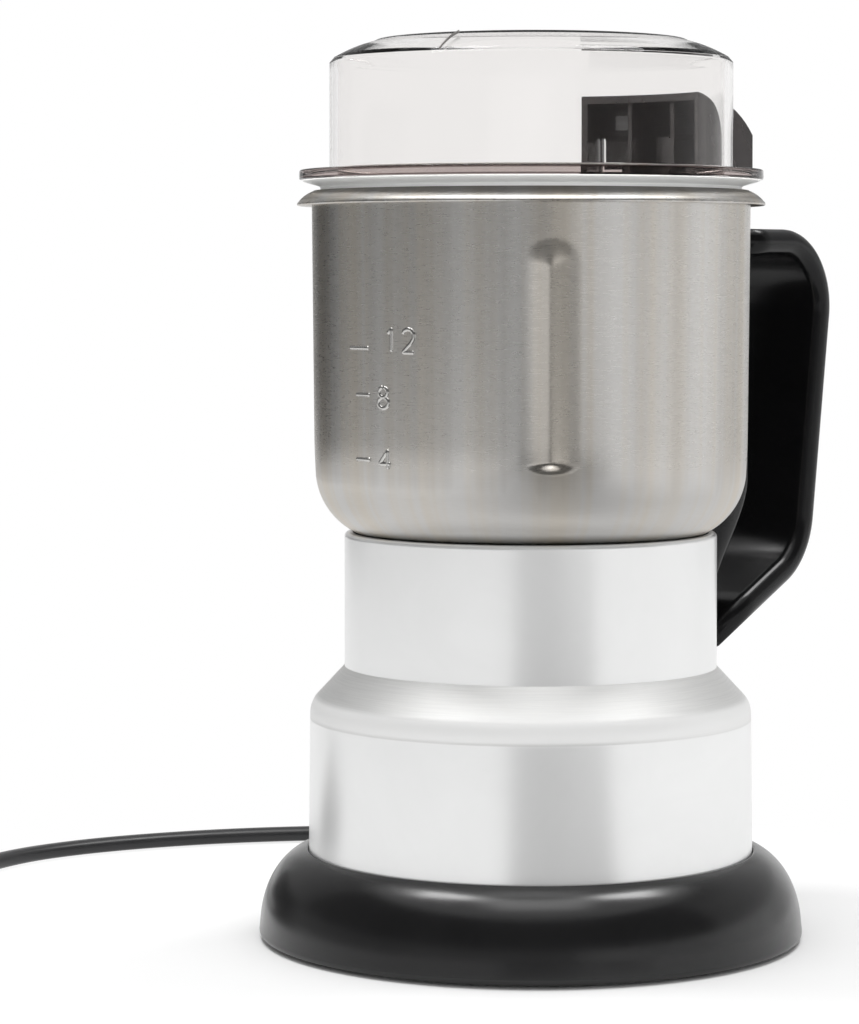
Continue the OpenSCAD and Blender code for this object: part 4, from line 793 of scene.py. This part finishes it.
# the handle: a swept loop and the column it stands on
handleShape = {
    "halfW": 21.0, "band": 6.5, "round": 3.0, "topZ": 166.8, "reach": 97.6, "corner": 19.2, "lean": 8.0,
    "gripL": 50.9, "lowCorner": 20.6, "slope": 25.0, "rootX": 49.5, "columnX": 61.5,
    "bendZ": 106.0, "footZ": 76.0, "footX": 46.5,
    "levels": [(62.4, 96, 26), (97, 112, 22), (114, 165.4, 12)],  # from and to height, rows
    "topRound": [(1.0, 0.06), (0.55, 0.28), (0.2, 0.75), (0.0, 1.4)],  # below the top, inset
    "neckR": 43.85, "stepZ": 64.0, "stepSlope": 0.954, "fit": 0.12,  # what the column lies against
    "slotX": 57.1, "slotHalf": (2.4, 3.8), "slotDepth": 9.0,
}


def makeLoop(h):
    def ring(x, z, normal):  # a band with round corners, its outer face at (x, z)
        n = math.radians(normal)
        half = h["band"] / 2
        flatU, flatV = half - h["round"], h["halfW"] - h["round"]
        points = []
        for q, (signU, signV) in enumerate(((1, 1), (-1, 1), (-1, -1), (1, -1))):
            for u, v in arcPoints((signU * flatU, signV * flatV), h["round"], 90 * q, 90 * q + 90, 6):
                points.append((x + (u - half) * math.cos(n), v, z + (u - half) * math.sin(n)))
        return points

    def bend(centre, radius, start, end, count):
        centres = arcPoints(centre, radius, start, end, count)
        return [ring(*c, a) for c, a in zip(centres, np.linspace(start, end, count + 1))]

    topC = (h["reach"] - h["corner"], h["topZ"] - h["corner"])
    lean, slope = math.radians(h["lean"]), math.radians(h["slope"])
    gripEnd = (topC[0] + h["corner"] * math.cos(lean) - h["gripL"] * math.sin(lean),
               topC[1] - h["corner"] * math.sin(lean) - h["gripL"] * math.cos(lean))
    lowC = (gripEnd[0] - h["lowCorner"] * math.cos(lean), gripEnd[1] + h["lowCorner"] * math.sin(lean))
    armStart = (lowC[0] + h["lowCorner"] * math.sin(slope), lowC[1] - h["lowCorner"] * math.cos(slope))
    rings = [ring(h["columnX"] - 1 + t * (topC[0] - h["columnX"] + 1), h["topZ"], 90) for t in (0, 0.5)]
    rings += bend(topC, h["corner"], 90, -h["lean"], 33)
    rings += bend(lowC, h["lowCorner"], -h["lean"], h["slope"] - 90, 25)
    for t in (0.5, 1.0):
        x = armStart[0] + (h["rootX"] - armStart[0]) * t
        rings.append(ring(x, armStart[1] + (x - armStart[0]) * math.tan(slope), h["slope"] - 90))
    verts = [np.array(p) * mm for r in rings for p in r]
    return newPiece("handle_loop", verts, tubeFaces(len(rings), len(rings[0])))


def makeColumn(h):
    def outX(z):
        t = max(0.0, min(1.0, (z - h["footZ"]) / (h["bendZ"] - h["footZ"])))
        return h["footX"] + (h["columnX"] - h["footX"]) * t * t * (3 - 2 * t)

    def inR(z):  # body, neck and bowl that the column lies against
        b = bowlShape
        cornerZ = b["floorZ"] + b["corner"]
        if z >= cornerZ:
            return b["wallR"] + h["fit"]
        r = h["neckR"] + max(0.0, h["stepZ"] - z) * h["stepSlope"]
        if z > b["floorZ"]:
            bulge = math.sqrt((b["corner"] + h["fit"]) ** 2 - (cornerZ - z) ** 2)
            r = max(r, b["lowR"] - b["corner"] + bulge)
        return r

    top = h["topZ"]
    levels = [(z, 0.0) for low, high, rows in h["levels"] for z in np.linspace(low, high, rows)]
    levels += [(top - below, inset) for below, inset in h["topRound"]]
    rings = []
    for z, inset in levels:
        w, x1, r = h["halfW"] - inset, outX(z) - inset, inR(z)
        rr = max(0.05, min(h["round"], x1 - math.sqrt(r * r - w * w) - 0.05))
        front = arcPoints((x1 - rr, w - rr), rr, 90, 0, 6)
        flat = [(x1, y) for y in np.linspace(w - rr, -w + rr, 9)[1:-1]]
        side = math.degrees(math.asin(w / r))
        back = arcPoints((0, 0), r, -side, side, 16)
        rings.append([(x, y, z) for x, y in front + flat + [(x, -y) for x, y in front[::-1]] + back])
    verts = [np.array(p) * mm for r in rings for p in r]
    faces = tubeFaces(len(rings), len(rings[0]))[:-1]
    # the top has a slot for the prong
    (sx, sy), cx = h["slotHalf"], h["slotX"]
    base = len(verts)
    slot = [(cx + sx, sy), (cx - sx, sy), (cx - sx, -sy), (cx + sx, -sy)]
    for z in (top, top - h["slotDepth"]):
        verts += [np.array((x, y, z)) * mm for x, y in slot]
    faces += tubeFaces(2, 4, base)[:4]
    piece = newPiece("handle_post", verts, faces)
    bm = bmesh.new()
    bm.from_mesh(piece.data)
    bm.verts.ensure_lookup_table()
    rim = [e for e in bm.edges if len(e.link_faces) == 1
           and all(abs(v.co.z - top * mm) < 1e-6 for v in e.verts)]
    bmesh.ops.triangle_fill(bm, edges=rim, use_beauty=True)
    bmesh.ops.recalc_face_normals(bm, faces=bm.faces)
    bm.to_mesh(piece.data)
    bm.free()
    for p in piece.data.polygons:
        p.use_smooth = abs(p.normal.z) < 0.999
    return piece


finishPiece(makeLoop(handleShape), "handle_black", "motor_body", "handle_grip", "handle_grip")
finishPiece(makeColumn(handleShape), "handle_black", "motor_body", "handle_column", "handle_column")
print("handle swept")

# fill marks raised on the bowl: three ticks and plain numbers
fillMarks = {
    "beadR": 0.58,  # half-width of a stroke
    "proud": 0.34,
    "sides": 10, "step": 0.25,  # points round a stroke, and their spacing along it
    "endR": 0.35,  # share of the stroke's width at its ends
    "degreeL": 0.9,  # about the length of a degree on the wall
    "textR": 51.0, "gap": 1.3,
    "wallLow": (110.2, 50.7), "wallHigh": (173.0, 51.3),  # height and radius of the wall
    "ticks": [(164.8, 172.6, 139.1), (167.3, 172.9, 128.6), (167.2, 172.8, 114.0)],  # angles, height
    "numbers": [("12", 178.4, 138.3, 3.6, 5.2), ("8", 175.7, 125.7, 3.3, 4.7),
                ("4", 176.0, 112.0, 3.5, 4.2)],  # text, angle, height, width, tallness
}
circle = [(math.sin(a), math.cos(a)) for a in np.linspace(0, 2 * math.pi, 17)]
strokes = {
    "1": [[(0.18, 0.78), (0.5, 1.0), (0.5, 0.0)]],
    "2": [[(0.04, 0.76), (0.14, 0.93), (0.38, 1.0), (0.66, 0.97), (0.86, 0.8), (0.84, 0.6), (0.62, 0.38),
           (0.3, 0.18), (0.04, 0.0), (0.92, 0.0)]],
    "4": [[(0.74, 0.0), (0.74, 1.0), (0.04, 0.3), (0.98, 0.3)]],
    "8": [[(0.5 + 0.38 * u, 0.76 + 0.24 * v) for u, v in circle],
          [(0.5 + 0.46 * u, 0.26 + 0.26 * v) for u, v in circle]],
}


def makeFillMarks(m):
    (z0, r0), (z1, r1) = m["wallLow"], m["wallHigh"]
    verts, faces = [], []

    def bead(points):  # points as (angle in degrees, height)
        dense = []
        for a, b in zip(points, points[1:]):
            long = math.hypot((b[0] - a[0]) * m["degreeL"], b[1] - a[1])
            n = max(2, int(long / m["step"]))
            dense += [(a[0] + (b[0] - a[0]) * k / n, a[1] + (b[1] - a[1]) * k / n) for k in range(n)]
        line = []
        for angle, z in dense + points[-1:]:
            r = r0 + (r1 - r0) * (z - z0) / (z1 - z0) + m["proud"] - m["beadR"]
            out = np.array([math.cos(math.radians(angle)), math.sin(math.radians(angle)), 0])
            line.append((out * r + np.array([0, 0, z]), out))
        base = len(verts)
        for i, (p, out) in enumerate(line):
            d = line[min(i + 1, len(line) - 1)][0] - line[max(i - 1, 0)][0]
            across = np.cross(out, d / np.linalg.norm(d))
            size = m["beadR"] * (m["endR"] if i in (0, len(line) - 1) else 1.0)
            for b in np.linspace(0, 2 * math.pi, m["sides"] + 1)[:-1]:
                verts.append((p + size * (math.cos(b) * across + math.sin(b) * out)) * mm)
        faces.extend(tubeFaces(len(line), m["sides"], base))

    for a0, a1, z in m["ticks"]:
        bead([(a0, z), (a1, z)])
    for text, angle, z, w, h in m["numbers"]:
        degrees = math.degrees(1 / m["textR"])
        for i, digit in enumerate(text):
            for stroke in strokes[digit]:
                bead([(angle + (i * (w + m["gap"]) + u * w) * degrees, z + v * h) for u, v in stroke])
    piece = newPiece("fill_marks", verts, faces)
    return finishPiece(piece, "mark_steel", "motor_body", "bowl")


makeFillMarks(fillMarks)

# two ribs inside the hood, either side of its prong
hoodRibs = {"half": 6.6, "thick": 1.2, "fromX": 48.6, "toX": 60.2, "lowZ": 180.05,
            "roofC": (43.9, 179.2), "roofR": 18.9}


def makeHoodRibs(h):
    verts, faces = [], []
    for side in (-1, 1):
        outline = [(h["fromX"], h["lowZ"]), (h["toX"], h["lowZ"])]
        for x in np.linspace(h["toX"], h["fromX"], 12):
            reach = math.hypot(x, h["half"] + h["thick"]) - h["roofC"][0]
            outline.append((x, h["roofC"][1] + math.sqrt(max(0.0, h["roofR"] ** 2 - reach ** 2))))
        base, n = len(verts), len(outline)
        for y in (side * h["half"] - h["thick"] / 2, side * h["half"] + h["thick"] / 2):
            verts += [(x * mm, y * mm, z * mm) for x, z in outline]
        faces += tubeFaces(2, n, base)
    return newPiece("hood_ribs", verts, faces, False)


finishPiece(makeHoodRibs(hoodRibs), "smoke_plastic", "lid_set", "lid_hood")

# a moulded line on the lid's shoulder
lidLine = {"angle": 192.0, "from": (46.6, 205.75), "to": (36.9, 210.2), "width": 0.5, "taper": 0.35,
           "proud": 0.35, "sunk": 0.25, "bulge": 0.5, "rows": 12}


def makeLidLine(s):
    a = math.radians(s["angle"])
    out, side = np.array([math.cos(a), math.sin(a), 0]), np.array([-math.sin(a), math.cos(a), 0])
    (r0, z0), (r1, z1) = s["from"], s["to"]
    verts = []
    for t in np.linspace(0, 1, s["rows"] + 1):
        r, z = r0 + (r1 - r0) * t, z0 + (z1 - z0) * t + s["bulge"] * math.sin(math.pi * t)
        w = s["width"] / 2 * (1 - s["taper"] * t)
        for dx, dz in ((-w, -s["sunk"]), (-w / 2, s["proud"]), (w / 2, s["proud"]), (w, -s["sunk"])):
            verts.append((out * r + side * dx + np.array([0, 0, z + dz])) * mm)
    return newPiece("lid_mould_line", verts, tubeFaces(s["rows"] + 1, 4), smooth=False)


finishPiece(makeLidLine(lidLine), "lid_seam", "lid_set", "lid")
print("pieces made")

# studio
studio = {
    "floorTone": 0.93,
    "floorHalf": 14,
    "floorNear": 0.068, "floorFar": 0.17,  # metres from the axis, where the paper turns to plain white
    "worldTone": 0.52,
    "aim": (0, 0, 0.11),
    "lamps": [
        # name, azimuth, height, distance, width, tall, watts, whether reflections see it
        ("softbox_left", 99, 1.52, 0.52, 0.5, 0.42, 9.0, True),
        ("softbox_right", 341, 1.48, 0.62, 0.5, 0.42, 7.8, True),
        ("softbox_top", 226, 1.65, 0.25, 0.8, 0.8, 5.4, True),
        ("front_fill", 225, 0.5, 1.7, 1.2, 0.9, 8.0, False),
    ],
    # grey boards that only reflections see: from and to azimuth, distance, low, high, tone
    "boards": [
        (55, 66, 1.25, 0.07, 0.3, 0.5),
        (66, 98, 1.25, 0.0, 0.3, 0.08),
        (98, 168, 1.25, 0.0, 0.3, 0.32),
        (168, 205, 1.25, 0.0, 0.3, 0.44),
        (205, 238, 1.2, 0.0, 0.3, 0.42),
        (264, 300, 1.25, 0.0, 0.3, 0.8),
        (300, 340, 1.25, 0.0, 0.3, 0.9),
        (340, 366, 1.25, 0.0, 0.3, 0.65),
        (20, 104, 1.3, 0.3, 1.6, 0.3),
        (104, 304, 1.3, 0.3, 1.6, 0.12),
        (304, 380, 1.3, 0.3, 1.6, 0.4),
    ],
    # a darker card on the floor, from and to azimuth and distance, that only reflections see
    "floorCard": (209, 256, 0.1, 1.15, 0.15),
}


def seenRays(tree):  # 1 for the camera, in reflections and through the lid
    path = addNode(tree, "ShaderNodeLightPath").outputs
    seen = mathNode(tree, "MAXIMUM", path["Is Camera Ray"], path["Is Glossy Ray"])
    return mathNode(tree, "MAXIMUM", seen, path["Is Transmission Ray"])


def makePaper(name, tone, lift, level):
    material, tree, shader = newMaterial(name)
    waves = placeGroup(tree, mouldedGrain).outputs["Waves"]
    feed(tree, shader, {"Base Color": blend(tree, waves, (tone,) * 3, (tone * lift,) * 3),
                        "Roughness": 0.9, "Specular IOR Level": level})
    return material, tree, shader


def makeFloor(s):
    half = s["floorHalf"]
    floor = newPiece("floor", [(-half, -half, 0), (half, -half, 0), (half, half, 0), (-half, half, 0)],
                     [(0, 1, 2, 3)], False)
    material, tree, shader = makePaper("floor_paper", s["floorTone"], lift=1.01, level=0.1)
    # further out the paper is plain white to the camera, to reflections and through the lid
    away = vectorNode(tree, "LENGTH", objectPlace(tree), output="Value")
    far = ramp(tree, away, 0.0, 1.0, s["floorNear"], s["floorFar"])
    glow = addNode(tree, "ShaderNodeEmission", {"Color": (1, 1, 1, 1), "Strength": 1.0})
    mixShaders(tree, mathNode(tree, "MULTIPLY", far, seenRays(tree)), shader, glow)
    floor.data.materials.append(material)


def makeWorld(s):
    world = bpy.data.worlds.new("studio_world")
    bpy.context.scene.world = world
    world.use_nodes = True
    tree = world.node_tree
    feed(tree, tree.nodes["Background"], {
        "Color": (1, 1, 1, 1), "Strength": ramp(tree, seenRays(tree), s["worldTone"], 1.0)})


def makeLamp(s, name, azimuth, height, distance, width, tall, watts, mirrored):
    light = bpy.data.lights.new(name, "AREA")
    light.shape = "RECTANGLE"
    light.size, light.size_y = width, tall
    light.energy = watts
    lamp = bpy.data.objects.new(name, light)
    a = math.radians(azimuth)
    lamp.location = (distance * math.cos(a), distance * math.sin(a), height)
    lamp.rotation_euler = (Vector(s["aim"]) - lamp.location).to_track_quat("-Z", "Y").to_euler()
    lamp.visible_glossy = mirrored
    bpy.context.scene.collection.objects.link(lamp)


def makeCard(name, start, end, count, rims, tone):  # a bent strip between two rims of (radius, height)
    verts = [(r * math.cos(a), r * math.sin(a), z) for a in np.radians(np.linspace(start, end, count))
             for r, z in rims]
    faces = [(2 * k, 2 * k + 2, 2 * k + 3, 2 * k + 1) for k in range(count - 1)]
    board = newPiece(name, verts, faces, False)
    board.data.materials.append(makePaper(name, tone, lift=1.05, level=0.0)[0])
    board.visible_camera = board.visible_diffuse = False
    board.visible_shadow = board.visible_transmission = False


def makeStudio(s):
    makeFloor(s)
    makeWorld(s)
    for lamp in s["lamps"]:
        makeLamp(s, *lamp)
    for i, (start, end, distance, low, high, tone) in enumerate(s["boards"]):
        makeCard(f"grey_board_{i}", start, end, 16, ((distance, max(low, 0.002)), (distance, high)), tone)
    start, end, near, far, tone = s["floorCard"]
    makeCard("floor_card", start, end, 12, ((near, 0.001), (far, 0.001)), tone)
    bpy.context.scene.view_settings.view_transform = "Standard"


makeStudio(studio)
print("studio set")
